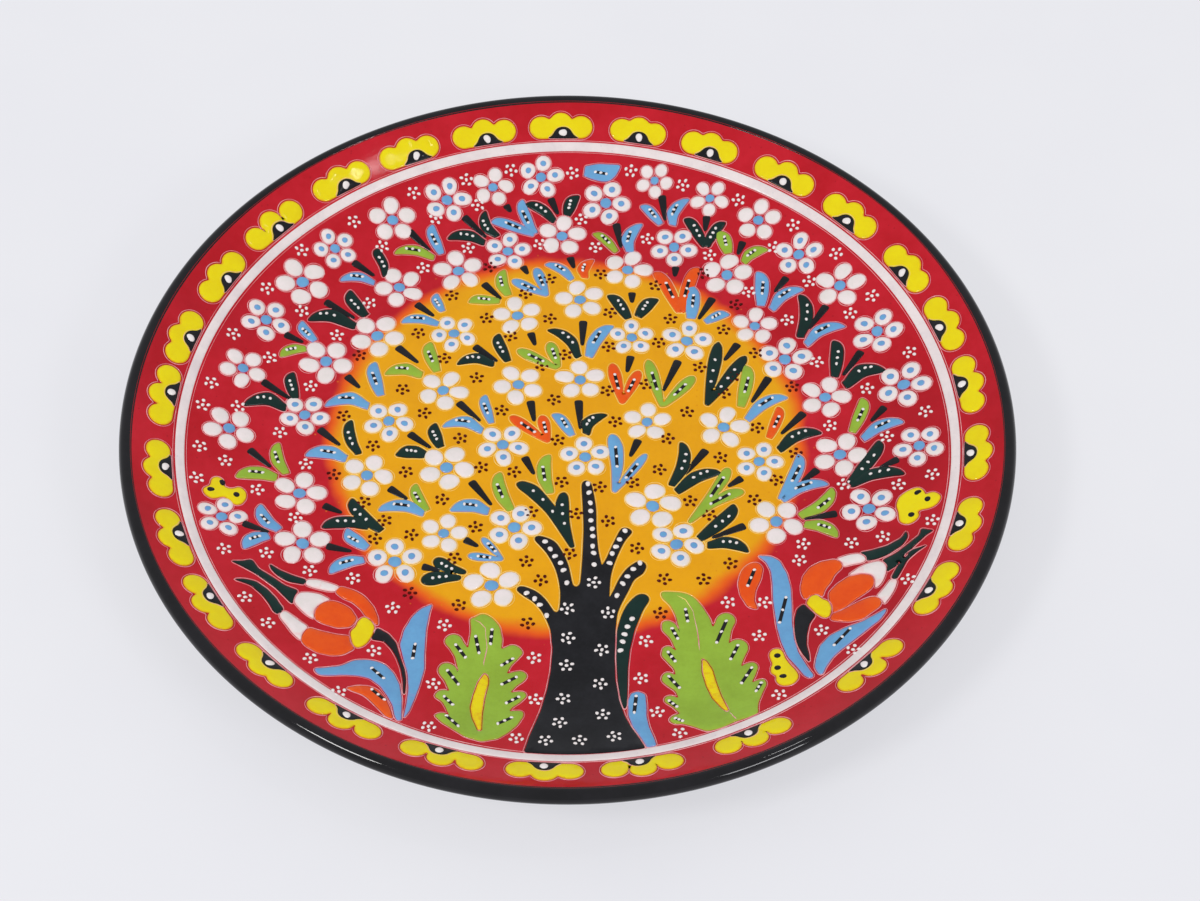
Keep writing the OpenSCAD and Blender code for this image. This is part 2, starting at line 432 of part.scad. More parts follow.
ORANGE_LEAVES = [
  [4, [6.4, 84.2], [3.8, 80.5], [5, 76.2]], [4.4, [31.4, 79.6], [38.4, 60.5]],
  [4.4, [43, 81.2], [38.4, 60.5]], [4, [-20.2, 12.8], [-6.8, 1.8]], [4, [-9.3, 13.3], [-6.8, 1.8]],
  [4.2, [14.5, 36.9], [18.2, 19]], [4, [24.1, 33.7], [18.2, 19]], [3.6, [73.6, 17.8], [68.4, 4.8]]];
leaf_shoulder = 0.3; // share of the spine taken by the rounded tip
leaf_root_w = 0.3; // width at the root, as a share of the leaf's width
leaf_taper = 1.6; // how late the leaf narrows; 1 is an even taper
LEAF_STEPS = [0, 0.07, 0.28, 0.62, 1];

// The spine is a parabola through tip, middle and root; t runs from 0 at the tip to 1 at the root.
function middle_of(leaf) = len(leaf) == 4 ? leaf[2] : (leaf[1] + leaf[2]) / 2;
function root_of(leaf) = leaf[len(leaf) - 1];
function spine(leaf, t) =
  leaf[1] * (2 * t * t - 3 * t + 1) + middle_of(leaf) * (4 * t - 4 * t * t) + root_of(leaf) * (2 * t * t - t);
function along(leaf, t) = unit(spine(leaf, t + 0.01) - spine(leaf, t - 0.01));
// Half width: a round shoulder at the tip, then an even taper to the root.
function half_w(leaf, t) = leaf[0] / 2 * (t < leaf_shoulder
  ? sqrt(1 - pow(1 - t / leaf_shoulder, 2))
  : 1 - (1 - leaf_root_w) * pow((t - leaf_shoulder) / (1 - leaf_shoulder), leaf_taper));

module leaf_drop(leaf) {
  mid = spine(leaf, 0.5);
  left = [for (t = LEAF_STEPS) spine(leaf, t) + half_w(leaf, t) * side_of(along(leaf, t)) - mid];
  right = [for (i = [len(LEAF_STEPS) - 1:-1:1])
    spine(leaf, LEAF_STEPS[i]) - half_w(leaf, LEAF_STEPS[i]) * side_of(along(leaf, LEAF_STEPS[i])) - mid];
  seat(s * mid, drop_lift) linear_extrude(height = drop_t) polygon(s * concat(left, right));
}

module dark_leaves() color("#142d28") for (leaf = DARK_LEAVES) leaf_drop(leaf);
module blue_leaves() color("#5fa5e1") for (leaf = BLUE_LEAVES) leaf_drop(leaf);
module green_leaves() color("#8cb93c") for (leaf = GREEN_LEAVES) leaf_drop(leaf);
module orange_leaves() color("#e85a14") for (leaf = ORANGE_LEAVES) leaf_drop(leaf);

// A dash of black with a pearl at each end and one between, lying over the line a to b.
mark_w = 1.1; // width of a dash
MARK_END = [-90, -45, 0, 45, 90]; // turns of the points that round off an end
function mark_outline(length) = [for (end = [1, -1], turn = MARK_END)
  end * [length / 2 + mark_w / 2 * cos(turn), mark_w / 2 * sin(turn)]];
module dash(a, b, lift) seat(s * (a + b) / 2, lift)
  rotate([0, 0, atan2(b[1] - a[1], b[0] - a[0])]) linear_extrude(height = spot_t)
    polygon(s * mark_outline(norm(b - a)));

// Where the first and last pearl stand along a leaf's spine.
mark_from = 0.3;
mark_to = 0.64;

module leaf_dashes() color("#1c1c1e") for (leaf = concat(BLUE_LEAVES, GREEN_LEAVES, ORANGE_LEAVES))
  dash(spine(leaf, mark_from), spine(leaf, mark_to), spot_lift);

module leaf_pearls() color("#e8e4e4") for (leaf = concat(DARK_LEAVES, BLUE_LEAVES, GREEN_LEAVES, ORANGE_LEAVES))
  for (t = [mark_from, (mark_from + mark_to) / 2, mark_to])
    dot(spine(leaf, t), pearl_lift, pearl_t, leaf_pearl_d);

// ---- Seeds ----
WHITE_SEEDS = [
  [-78.5, 95], [-68, 86.7], [-96, 80.3], [-107, 62.7], [-71.3, 62.3], [-39, 116.3], [-57.8, 109.3],
  [-34.5, 106.8], [-49.5, 100.2], [-23, 121.2], [-0.5, 120.9], [-37.5, 88.6], [-11.8, 91.4], [-53, 79],
  [20.6, 121.6], [39.5, 115.4], [3, 102.4], [26.7, 94], [8.2, 90.4], [59.6, 108], [49, 86.4], [62.8, 70],
  [79, 95.8], [72, 88], [93.8, 82.4], [84.2, 72.6], [105.7, 63.2], [-94.4, 56], [-81.8, 47.2],
  [-117, 41.6], [-104, 34.6], [-89.4, 24.3], [-122.6, 19.6], [-113, 12], [-124.6, 9.6], [-98.3, 3.4],
  [76.2, 57], [98, 57.4], [85.8, 38.2], [117.6, 37.6], [102.6, 25], [121.6, 11.8], [89.5, 10.2],
  [108.3, 3.6], [-123.9, -8], [-115.2, -12], [-103.9, -22.2], [-123.6, -21.7], [-88.6, -9.4],
  [-90.5, -32.4], [-112, -50.1], [-98.6, -48.9], [-84.1, -54.4], [-69.6, -56.4], [-56.1, -68],
  [-39, -74.3], [-60.9, -86.4], [-41.4, -99], [-41.8, -118.4], [-9.4, -86.7], [-8.7, -104],
  [-14.2, -121.6], [-103.4, -69.8], [-95.4, -79.6], [-80.7, -92.7], [-70.6, -106.4], [111.1, -17.6],
  [122.3, -15.4], [93.2, -15.2], [78.6, -39.9], [94.6, -40.4], [105, -39.2], [121, -35.4], [77.2, -46.6],
  [83.2, -77.3], [92.6, -87.8], [68.6, -104.6], [111.8, -59.6], [65.2, -63.9], [53.4, -63.7],
  [63.2, -77.9], [26.4, -79.4], [25, -94.7], [30, -109.5], [37, -119.4]];
MAROON_SEEDS = [
  [-29.5, 80.5], [-42.3, 66.9], [-16.4, 68.3], [-8, 75.3], [10.2, 78], [29.8, 72.9], [46.8, 78.6],
  [58, 64.4], [-73.4, 38.8], [-77.2, 12], [-29.7, 56.6], [-53.4, 49.4], [-43.9, 38], [-21, 48.6],
  [-7.6, 56.8], [-1.7, 40.4], [-9.8, 35.4], [-32.2, 29.5], [-57.6, 24], [-23.2, 15.2], [-5.2, 20.3],
  [-49.7, 13.6], [-36.8, 2.8], [13.6, 60], [35, 57.4], [30.8, 46.6], [53.6, 52.8], [13.4, 44.4],
  [45, 35.6], [56.4, 31.4], [13, 24.6], [26.6, 27.6], [53.3, 24.2], [40.5, 15.6], [16, 11],
  [33.8, 3.9], [64.8, 42.4], [64.4, 9.2], [77, 27.4], [-66.4, -0.8], [-78.9, -13.5], [-68, -24.9],
  [-63.6, -40], [-29.2, -9.5], [-18.2, -11.2], [-3.6, 2.6], [-2, -15.2], [-12, -28], [-54.6, -11.8],
  [-42, -23.3], [-60.6, -32.4], [-51.6, -38.1], [-30.2, -34.6], [-36.8, -47.4], [-13, -48.4],
  [-8, -55.8], [10.8, -17.2], [22, -15], [30.9, -9.4], [51.8, -4], [62.8, -21.6], [41.3, -22.6],
  [47.7, -28.2], [3, -28.5], [13.9, -31.3], [23.4, -42.4], [54.5, -48.1], [32.5, -54.7],
  [45.5, -54.7], [1.2, -45], [77.3, -1.7], [70.6, -13.2], [-50.9, -61.7], [-34.5, -66.3],
  [-12, -73], [31.2, -68.4]];

module white_seeds() color("#e8e4e4") for (i = [0:len(WHITE_SEEDS) - 1])
  cluster(WHITE_SEEDS[i], stem_lift, 47 * i);

module maroon_seeds() color("#5a0f05") for (i = [0:len(MAROON_SEEDS) - 1])
  cluster(MAROON_SEEDS[i], stem_lift, 31 * i);

// ---- Tulips ----
TULIP_TIPS = [
  [[-97, -53.3], [-93.5, -55.5], [-89, -57.2], [-84.7, -58.4], [-85.1, -60.4], [-90, -60], [-93.6, -58.2],
   [-96.3, -55.4]],
  [[-109.3, -54.7], [-105.5, -53.8], [-102.8, -52.6], [-100.3, -56], [-95.5, -59], [-91.4, -61.8],
   [-87, -63.4], [-87.9, -66], [-88.3, -69.6], [-90.5, -67.2], [-94, -63.5], [-98.2, -60.4],
   [-101.5, -58.2], [-105.5, -56.2]],
  [[-107.4, -62.6], [-104.5, -61.7], [-100.5, -62], [-96.8, -64.5], [-93.6, -68], [-90.9, -72.4],
   [-92.4, -74.9], [-93.8, -74], [-95.5, -70.8], [-98.2, -67.2], [-101.8, -64], [-105.5, -63]],
  [[112.2, -38], [110.5, -40.8], [105.9, -43.3], [100.5, -44.5], [96.8, -44.9], [98.9, -47],
   [98.9, -48.7], [102.3, -48.4], [106, -47], [110.5, -44], [112.6, -40.5]],
  [[117, -38], [116.4, -40.6], [112.7, -43.8], [108.6, -47], [104, -49.4], [105.3, -51.8],
   [104.9, -54.8], [108.6, -52.4], [111.4, -48.6], [114.5, -45], [118.5, -41.2], [120.9, -39.9]],
  [[118.5, -45.7], [113.2, -47], [110, -50.2], [107.8, -54.5], [106.3, -57.8], [107.8, -58.6],
   [109.5, -55.5], [111.8, -51], [115, -48]]];
TULIP_WHITES = [
  [[-84.4, -58.4], [-81, -58], [-77, -59], [-73.8, -60.3], [-75.2, -62.3], [-78, -62.3], [-81.8, -61.6],
   [-84.8, -60.4]],
  [[-87.4, -66], [-86.3, -64.3], [-83.6, -63.7], [-80, -64], [-76.3, -65.9], [-79.2, -67.9],
   [-81.2, -71.2], [-80.8, -75], [-83.2, -73.6], [-86, -70.8], [-87.6, -68.6]],
  [[-91.9, -74.6], [-90.4, -73], [-87.3, -75], [-82.5, -78.8], [-83.9, -81.4], [-84.2, -85.2],
   [-86.8, -82.7], [-89, -79.6], [-91.5, -76.2]],
  [[89.2, -46.8], [93.2, -45.5], [96.7, -45.5], [98.6, -47.4], [98.2, -49.1], [94.5, -49.7],
   [91.2, -50.4], [91.1, -48.6]],
  [[92.8, -54.2], [96, -51.6], [99.5, -50], [103.4, -49.8], [105, -52.2], [104.4, -56.3], [102.6, -60],
   [100.9, -61.2], [101.2, -57.4], [100.2, -55.2], [97, -53.9]],
  [[106.3, -58.2], [108, -58.9], [107.3, -62.2], [105.5, -65.8], [103.3, -69], [102.8, -66.8],
   [101.3, -65], [104, -61.4]]];
TULIP_FLAMES = [
  [[-73.4, -60.2], [-69.5, -61.3], [-66.4, -63.1], [-64.6, -64.9], [-62.3, -68], [-60.7, -72.2],
   [-60.4, -75.6], [-61.6, -74.6], [-64.6, -71.6], [-66.3, -69], [-69.1, -66.3], [-72.3, -64.9], [-74.9, -62.4]],
  [[-75.9, -66.5], [-72.7, -67.4], [-69.5, -69.4], [-67.5, -73], [-68.6, -75.8], [-69.4, -76.8],
   [-73.2, -77.6], [-77.7, -76.5], [-80.5, -74.7], [-80.8, -71.3], [-79, -68]],
  [[-82.1, -79.1], [-77.7, -80.1], [-73.2, -80.8], [-69.2, -80.9], [-69, -83], [-67.4, -86.1],
   [-70.5, -89], [-74.1, -90.1], [-78.6, -89.5], [-82.3, -87.4], [-84, -84.9], [-83.6, -81.7]],
  [[88.6, -47.1], [84.1, -47.8], [80.5, -50], [78.2, -53.5], [77.3, -57.6], [77.4, -60.6], [78.4, -63.4],
   [80.3, -61.8], [82.5, -61.2], [84, -62.8], [85, -59.4], [86.8, -56.7], [88.2, -53.6], [90.8, -50.6],
   [90.7, -48.6]],
  [[92.8, -55], [96.8, -54.3], [99.9, -55.4], [100.8, -57.6], [100, -60.6], [97.7, -62.7], [94.5, -65],
   [91, -68], [87.2, -70], [87, -66.8], [86.3, -64.2], [86.4, -61], [89, -57.8]],
  [[101.1, -65.3], [102.4, -66.9], [101.9, -69.5], [99, -71.8], [96.3, -74], [92.3, -74.6], [88.6, -73.8],
   [86.2, -72.8], [86.9, -70.6], [91, -68.8], [95.9, -66.2], [99, -65.1]]];
TULIP_CUPS = [
  [[-65, -72.3], [-62.8, -73.6], [-61.5, -76], [-61.7, -78.8], [-62.8, -82], [-64.2, -84.3],
   [-66.3, -85.6], [-67.8, -84.4], [-68.7, -81], [-68.8, -78.5], [-67.5, -76.8], [-67.1, -75], [-66.2, -73.2]],
  [[80.3, -62.1], [82.2, -61.6], [83.8, -63.5], [85.7, -64.7], [86.6, -67.4], [86.3, -70], [85.5, -71.6],
   [84.1, -71.8], [81.8, -69.7], [80, -67], [78.8, -65]]];
TULIP_STEMS = [
  [[-60.5, -76.4], [-56.8, -78.8], [-54.2, -82.2], [-53.2, -85.6], [-52.2, -89], [-50.8, -93],
   [-50, -98], [-50, -104.5], [-50.4, -104.5], [-51, -98], [-52, -93], [-53.6, -88.4], [-55.4, -85],
   [-58, -82], [-62.2, -81.4], [-61.4, -78.6]],
  [[77.9, -65.2], [75.7, -67.2], [74.7, -71.3], [74.5, -76.7], [75, -82.2], [76.6, -86.7], [78.6, -91],
   [78.6, -87.6], [78, -83], [78.3, -78.5], [79.3, -74], [81.3, -70.2], [79.6, -67.8]]];
TULIP_LEAVES = [
  [[-43.2, -66], [-46.8, -68], [-49.5, -71.3], [-51.8, -76.7], [-52.8, -83], [-51.6, -88], [-49.7, -95],
   [-49, -101.7], [-49.2, -108.5], [-49.7, -115.4], [-48.2, -112], [-46.8, -106], [-45.5, -99.5],
   [-44.5, -92.6], [-44.8, -85.8], [-44.8, -76.7], [-44, -69.5]],
  [[-79, -97], [-75.5, -96], [-71, -94.4], [-67, -91.4], [-63.5, -90.6], [-60, -90.8], [-56.8, -92.2],
   [-54.1, -95.4], [-52, -100], [-50.8, -106.5], [-50.3, -116.4], [-51.5, -116.8], [-52.5, -114.5],
   [-53.5, -109.8], [-55.5, -105.5], [-58, -101.5], [-61.5, -98.6], [-65.5, -97.9], [-69.5, -98.2],
   [-74, -99.3], [-77.5, -99.4]],
  [[63.5, -44.8], [67.5, -45], [70.5, -46.8], [72.8, -52], [73.9, -58], [74, -65], [73.8, -73],
   [74.2, -80], [75.3, -86], [77.5, -92], [79.6, -97.4], [78.6, -98.4], [76.8, -97], [74.6, -92.6],
   [71.8, -87.5], [70, -81], [68.9, -74.5], [68, -63], [68, -56], [67.6, -51], [66.2, -47.5]],
  [[104, -71], [100.5, -73], [96, -75.4], [90.5, -77.2], [85.5, -80], [82.3, -84], [80.7, -89.5],
   [80.1, -93.5], [81.4, -97.2], [82.3, -97.2], [83.6, -94], [86, -89.9], [89, -86.7], [93.2, -83],
   [97.7, -79], [101.4, -75.8], [103.6, -72.5]]];
HOOK_LEAVES = [
  [[-68.5, -104], [-65, -102.5], [-61.5, -102.2], [-58.5, -103.5], [-55.9, -107.2], [-54, -112.2],
   [-53, -116], [-55, -115.2], [-58.2, -111.3], [-60.5, -108.5], [-63, -106.3], [-66.5, -105]],
  [[62, -47.8], [63.8, -47.9], [64.9, -50], [64.2, -54], [62.3, -59], [61.8, -63], [62.9, -66.6],
   [60, -65.5], [57.5, -61], [56.8, -56.5], [58, -51.5], [60, -48.8]]];
// Dashes on the long leaves, from first pearl to last.
LONG_MARKS = [[[-48, -82.8], [-48.5, -88.8]], [[-61.2, -94.4], [-57.2, -98.4]], [[72.3, -62.4], [69.9, -72.9]],
              [[92.3, -78.3], [86.9, -84.9]], [[-60.5, -104], [-56.3, -108.1]], [[62.2, -50.8], [59.9, -57.2]]];

module fields(outlines) for (points = outlines) outline(points);

module tulip_tips() color("#142d28") field(glaze_t + small_seat, field_t) fields(TULIP_TIPS);
module tulip_whites() color("#e8e4e4") field(glaze_t + small_seat, field_t) fields(TULIP_WHITES);
module tulip_flames() color("#e85a14") field(glaze_t + small_seat, field_t) fields(TULIP_FLAMES);
module tulip_cups() color("#e4d40c") field(glaze_t + small_seat, field_t) fields(TULIP_CUPS);
module tulip_stems() color("#1c1c1e") field(glaze_t + small_seat, field_t) fields(TULIP_STEMS);
module tulip_leaves() color("#5fa5e1") field(glaze_t + small_seat, field_t) fields(TULIP_LEAVES);
module hook_leaves() color("#e85a14") field(glaze_t + small_seat, field_t) fields(HOOK_LEAVES);

// ---- Saz leaves ----
// Long lobed leaves, each round from its top tip down the right side and back up the left.
SAZ_LEAVES = [
  [[-26.8, -69.7], [-23.9, -71], [-21.1, -74.5], [-20, -79.5], [-20.2, -83.5], [-16.8, -81.7],
   [-14.5, -82.6], [-13.2, -84.9], [-15, -87.6], [-16.8, -89.9], [-18.2, -93.5], [-15.9, -92.6],
   [-13.2, -92.2], [-11.6, -94], [-12.7, -96.3], [-15, -98.5], [-16.8, -101.3], [-14.5, -100.8],
   [-12.3, -100.8], [-11.6, -102.6], [-13.6, -105.4], [-15.9, -107.6], [-16.8, -109.5], [-14.5, -109],
   [-12.5, -109.2], [-12.3, -111.3], [-14.1, -115.4], [-16.8, -119], [-20, -122], [-25, -123.6],
   [-30, -121.9], [-33, -119.5], [-37.7, -115.8], [-40.2, -112.8], [-37.9, -111.4], [-35.5, -112.4],
   [-36.8, -109], [-38.2, -106.3], [-40.5, -104.3], [-39.5, -101.9], [-37.7, -101.3], [-35.9, -101.7],
   [-37.7, -97.2], [-39.5, -94.5], [-40, -92.8], [-39.2, -90.5], [-37.3, -89.7], [-35, -90.8],
   [-33.6, -93.1], [-34.1, -90.4], [-35, -86.7], [-36.8, -83.5], [-38.4, -81.3], [-38, -79.2],
   [-35.9, -77.9], [-33.6, -78.8], [-32.3, -81.3], [-30.9, -83.5], [-30.2, -76.7], [-30.6, -71.5],
   [-29.4, -71.3]],
  [[31.5, -60], [35.5, -59.9], [39.5, -60.5], [42.3, -62.2], [45, -65.8], [47.3, -70.4], [48.2, -74],
   [50, -69.5], [52.3, -68.1], [54.6, -68.9], [55.6, -71.3], [54.1, -75.4], [53.2, -80.8], [54.3, -79.6],
   [56.4, -79], [58.8, -80.4], [59.4, -83.1], [57.7, -87.6], [56.8, -90.8], [58.6, -89.5], [61, -89.1],
   [62.3, -91], [61.4, -94.5], [60, -98.1], [61.8, -97.2], [64, -96.7], [64.7, -99], [63.2, -103.1],
   [61.8, -107.6], [61.4, -112.4], [58.6, -113.8], [54.3, -115.4], [50, -118], [45.5, -119],
   [40.9, -116.3], [37.7, -114.9], [35.5, -114.9], [33.8, -113.1], [34.9, -111.3], [37.3, -110.4],
   [35, -107.2], [32.5, -104.9], [32.5, -103], [34.3, -102.2], [36.8, -103.5], [35.9, -100.4],
   [32.7, -97.2], [31.6, -95.6], [31.9, -93.4], [33.4, -92.2], [36, -93.5], [35.5, -90.8], [33.2, -87.6],
   [31.5, -85.2], [32, -82.3], [34, -81.4], [36.4, -83.5], [34.5, -78.5], [31.8, -75], [31.8, -72.1],
   [33.7, -71.3], [35.9, -72.4], [37.3, -75], [36.4, -69.9], [34.5, -65.4], [31.8, -62.2]]];
SAZ_CORES = [
  [[-25.2, -92.9], [-23.8, -95], [-23.6, -97.6], [-24.5, -104], [-25, -110.8], [-25, -118.6],
   [-26.2, -119.2], [-28.5, -113], [-29.3, -108.5], [-28.6, -103], [-27.3, -97.2]],
  [[44.3, -86.5], [46, -87.5], [47.9, -91.3], [49.1, -97.2], [50.5, -103.1], [52.7, -109.9], [52, -111],
   [50, -108.5], [47.3, -104], [45.5, -98.5], [44.3, -92.6]]];
SAZ_MARKS = [
  [[-28.6, -78.8], [-27.3, -85.4]], [[-23.4, -76], [-23.7, -81.6]], [[-16.4, -87.5], [-19.8, -90.2]],
  [[-15, -95], [-19.5, -98.2]], [[-14, -103.4], [-17.8, -106.2]], [[-16, -112.6], [-20.2, -115.6]],
  [[-34.9, -82.4], [-31.6, -87.4]], [[-37.1, -93.2], [-33.4, -98.9]], [[-37.6, -104.6], [-34.8, -108]],
  [[-36.4, -113.2], [-32.6, -117.6]], [[39.4, -67], [40.1, -71.6]], [[35, -74.6], [36.8, -78.6]],
  [[33.7, -84.2], [35.9, -87.9]], [[33.9, -94.4], [37.2, -99.3]], [[33.9, -104.9], [36.3, -107.6]],
  [[35.8, -112.9], [38, -114.2]], [[52.6, -71.6], [49.4, -80.4]], [[56.2, -81.9], [53.8, -87.6]],
  [[60.4, -91.9], [57, -98.4]], [[63.2, -98.9], [61.5, -102.4]]];
mark_lift = field_top + small_seat;

module saz_leaves() color("#8cb93c") difference() {
  field(glaze_t + small_seat, field_t) fields(SAZ_LEAVES);
  linear_extrude(height = tall) fields(SAZ_CORES);
}

module saz_cores() color("#e4d40c") field(glaze_t + small_seat, field_t)
  for (points = SAZ_CORES) offset(delta = -field_gap) outline(points);

module saz_dashes() color("#1c1c1e") for (mark = concat(SAZ_MARKS, LONG_MARKS, [FOOT_LEAF_MARK]))
  dash(mark[0], mark[1], mark_lift);

module saz_pearls() color("#e8e4e4") for (mark = concat(SAZ_MARKS, LONG_MARKS, [FOOT_LEAF_MARK]))
  for (t = [0, 0.5, 1]) dot(mark[0] * (1 - t) + mark[1] * t, mark_lift + spot_t + small_seat, pearl_t, leaf_pearl_d);

// ---- Butterflies ----
BUTTERFLIES = [
  [[-118.6, -20.8], [-117, -19.5], [-115, -20.4], [-114.3, -23.1], [-111.8, -23.5], [-109.5, -22.2],
   [-107.3, -24], [-107, -26.7], [-108.6, -29.7], [-110.9, -29.9], [-112, -28.8], [-114.1, -27.6],
   [-116.1, -28.5], [-117.7, -29.2], [-120.2, -27.9], [-120.9, -25.8], [-119.8, -24.5], [-118.9, -23.8]],
  [[109.8, -26.7], [110.9, -23.1], [114.1, -20.8], [117.3, -20.1], [119.1, -22.2], [119.3, -23.7],
   [121.8, -23.1], [124.1, -25.4], [123.2, -28.1], [120.9, -29.7], [117.7, -29.9], [116.4, -30.4],
   [116.8, -32.2], [115, -34.5], [112.7, -35.1], [110.5, -33.5], [110.3, -29.5]],
  [[66.1, -85.8], [67.3, -84], [69.3, -83.9], [70.4, -85.4], [71.2, -88.5], [72.5, -91.3], [74.3, -94.5],
   [74.8, -97.2], [73.6, -99.5], [71.8, -100.6], [69, -100.1], [67.7, -97.6], [67.9, -95.8], [66.4, -94.5],
   [66.3, -92], [66.9, -90.5], [66.4, -88.5]]];
BUTTERFLY_SPOTS = [[-115.4, -21.8], [-118.8, -25.6], [-110.4, -25.9], [117.2, -22.4], [120.2, -26],
                   [114.6, -31.6], [68.7, -87.2], [68.6, -92.6], [70.2, -96.6]];
butterfly_spot_d = 2.2; // diameter of a butterfly's dark spot

module butterflies() color("#e4d40c") field(glaze_t + small_seat, field_t) fields(BUTTERFLIES);
module butterfly_spots() color("#1c1c1e") for (p = BUTTERFLY_SPOTS)
  dot(p, mark_lift, spot_t, butterfly_spot_d);

clay_body();
back_glaze();
rim_glaze();
border_ground();
ring_band();
well_ground();
sun_ground();
border_flowers();
flower_hearts();
flower_pearls();
tree_trunk();
trunk_pearls();
branch_pearls();
trunk_side_leaf();
trunk_foot_leaf();
blossom_petals();
blossom_centres();
petal_spots();
blossom_stems();
dark_leaves();
blue_leaves();
green_leaves();
orange_leaves();
leaf_dashes();
leaf_pearls();
white_seeds();
maroon_seeds();
tulip_tips();
tulip_whites();
tulip_flames();
tulip_cups();
tulip_stems();
tulip_leaves();
hook_leaves();
saz_leaves();
saz_cores();
saz_dashes();
saz_pearls();
butterflies();
butterfly_spots();
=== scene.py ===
"""A plate in raised enamel: a turned clay dish, ground glazes, and drops and fields of enamel laid on
one by one inside hand-trailed contour lines.  The layout is read from the CAD model's own nodes.
Lengths are in metres unless a name ends in _mm."""

import math

import bmesh
import bpy
import numpy as np
from mathutils import Matrix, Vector
from mathutils.geometry import delaunay_2d_cdt


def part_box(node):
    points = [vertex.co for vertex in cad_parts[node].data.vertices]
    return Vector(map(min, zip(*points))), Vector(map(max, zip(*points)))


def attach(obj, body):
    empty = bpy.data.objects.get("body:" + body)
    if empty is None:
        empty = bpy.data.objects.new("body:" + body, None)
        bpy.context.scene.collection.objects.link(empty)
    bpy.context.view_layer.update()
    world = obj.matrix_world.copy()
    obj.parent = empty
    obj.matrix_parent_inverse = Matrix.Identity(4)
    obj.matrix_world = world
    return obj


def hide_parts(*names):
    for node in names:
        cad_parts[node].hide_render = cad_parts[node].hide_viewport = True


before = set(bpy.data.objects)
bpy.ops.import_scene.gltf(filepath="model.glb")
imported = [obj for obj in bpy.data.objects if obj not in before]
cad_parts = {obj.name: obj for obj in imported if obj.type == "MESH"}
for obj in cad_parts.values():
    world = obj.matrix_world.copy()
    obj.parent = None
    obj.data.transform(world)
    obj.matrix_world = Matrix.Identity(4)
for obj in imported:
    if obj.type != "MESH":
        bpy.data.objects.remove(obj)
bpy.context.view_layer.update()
MM = 0.001

# ---- Sizes of the dish, as the CAD model turns it ----
FLOOR_R = 80 * MM  # flat floor of the dish
ARC_R = 130 * MM  # radius of the curved wall
FOOT_H = 6 * MM
CLAY_T = 4.8 * MM
FLOOR_Z = FOOT_H + CLAY_T
GLAZE_T = 0.3 * MM
FOOT_OUT = 86 * MM
FOOT_IN = 80 * MM
PLATE_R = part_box("rim_glaze")[1].x
RING_IN = 128.9 * MM
RING_OUT = 132.2 * MM
BAND_IN = 146.6 * MM  # inner edge of the black band
BAND_BACK = 9 * MM  # how far the black band runs down the back
SUN_MID = np.array([-1.0, 3.0]) * MM
SUN_R = 83 * MM
SUN_HOLE = 1.5 * MM  # how far the opening in the red ground stands out past the sun's radius
SUN_LAP = 3.5 * MM  # how far the sun's ground stands out past the sun's radius, over the red
LIP_R = CLAY_T / 2
LIP_TURN = math.asin((PLATE_R - GLAZE_T - LIP_R - FLOOR_R) / (ARC_R + LIP_R))
FOOT_EDGE_R = 0.9 * MM  # rounding of the foot ring's resting edges
FOOT_OUTER_R = 2.2 * MM  # rounding where the foot ring meets the back
FOOT_OUTER_TOP = 4.4 * MM  # height at which that rounding begins
FOOT_INNER_R = 1.8 * MM  # rounding where the foot ring meets its recess
FOOT_COAT = 0.7 * GLAZE_T  # how far the glaze stands off the foot ring
BAND_RUN = 0.9 * MM  # how far the thin glaze of the black band runs in over the red
TURNS = 320  # steps round the plate

# A base or top is a height above the clay.  A name in _H is how far enamel rises from its base.
COAT_BASE = 0.24 * MM
LINE_H = 0.26 * MM
STEM_H = 0.3 * MM
DROP_H = 0.46 * MM
FIELD_H = 0.42 * MM
FIELD_TOP = 0.5 * MM
MARK_BASE = 0.58 * MM
MARK_H = 0.22 * MM
PEARL_BASE = 0.62 * MM
PEARL_H = 0.62 * MM
SMALL_PEARL_H = 0.46 * MM
SEED_H = 0.5 * MM

DROP_SHARES = (0, 0.62, 0.91, 1.0, 0.0)  # rings of a drop: shares of its radius over the top, then underneath
FUSED_POINTS = 14  # an outline with at least this many points is two leaves that grow together


# ---- The dish surface ----
def on_dish(plan, lift):
    """Puts plan points on the dish at a height above the clay.  Inside the floor's radius the point goes
    straight up.  Beyond it the wall leans by the angle whose sine is (radius - floor radius) / arc radius,
    and the point stands off the clay along that lean."""
    r = np.hypot(plan[..., 0], plan[..., 1])
    lean = np.arcsin(np.clip((r - FLOOR_R) / ARC_R, 0, 0.99))
    reach = ARC_R - lift
    out = np.where(r > FLOOR_R, FLOOR_R + reach * np.sin(lean), r)
    share = out / np.maximum(r, 1e-9)
    return np.stack([plan[..., 0] * share, plan[..., 1] * share, FLOOR_Z + ARC_R - reach * np.cos(lean)], -1)


def off_dish(points):
    """The plan point under each point in space: on_dish turned round, with the lean found from the arc's centre."""
    out = np.hypot(points[..., 0], points[..., 1])
    lean = np.arctan2(np.maximum(out - FLOOR_R, 0), FLOOR_Z + ARC_R - points[..., 2])
    r = np.where(out > FLOOR_R, FLOOR_R + ARC_R * np.sin(lean), out)
    return points[..., :2] * (r / np.maximum(out, 1e-9))[..., None]


def dish_normal(points):
    """Unit normal of the dish at each point: straight up on the floor, leaning to the axis on the wall."""
    out = np.hypot(points[..., 0], points[..., 1])
    lean = np.arctan2(np.maximum(out - FLOOR_R, 0), FLOOR_Z + ARC_R - points[..., 2])
    share = np.sin(lean) / np.maximum(out, 1e-9)
    return np.stack([-points[..., 0] * share, -points[..., 1] * share, np.cos(lean)], -1)


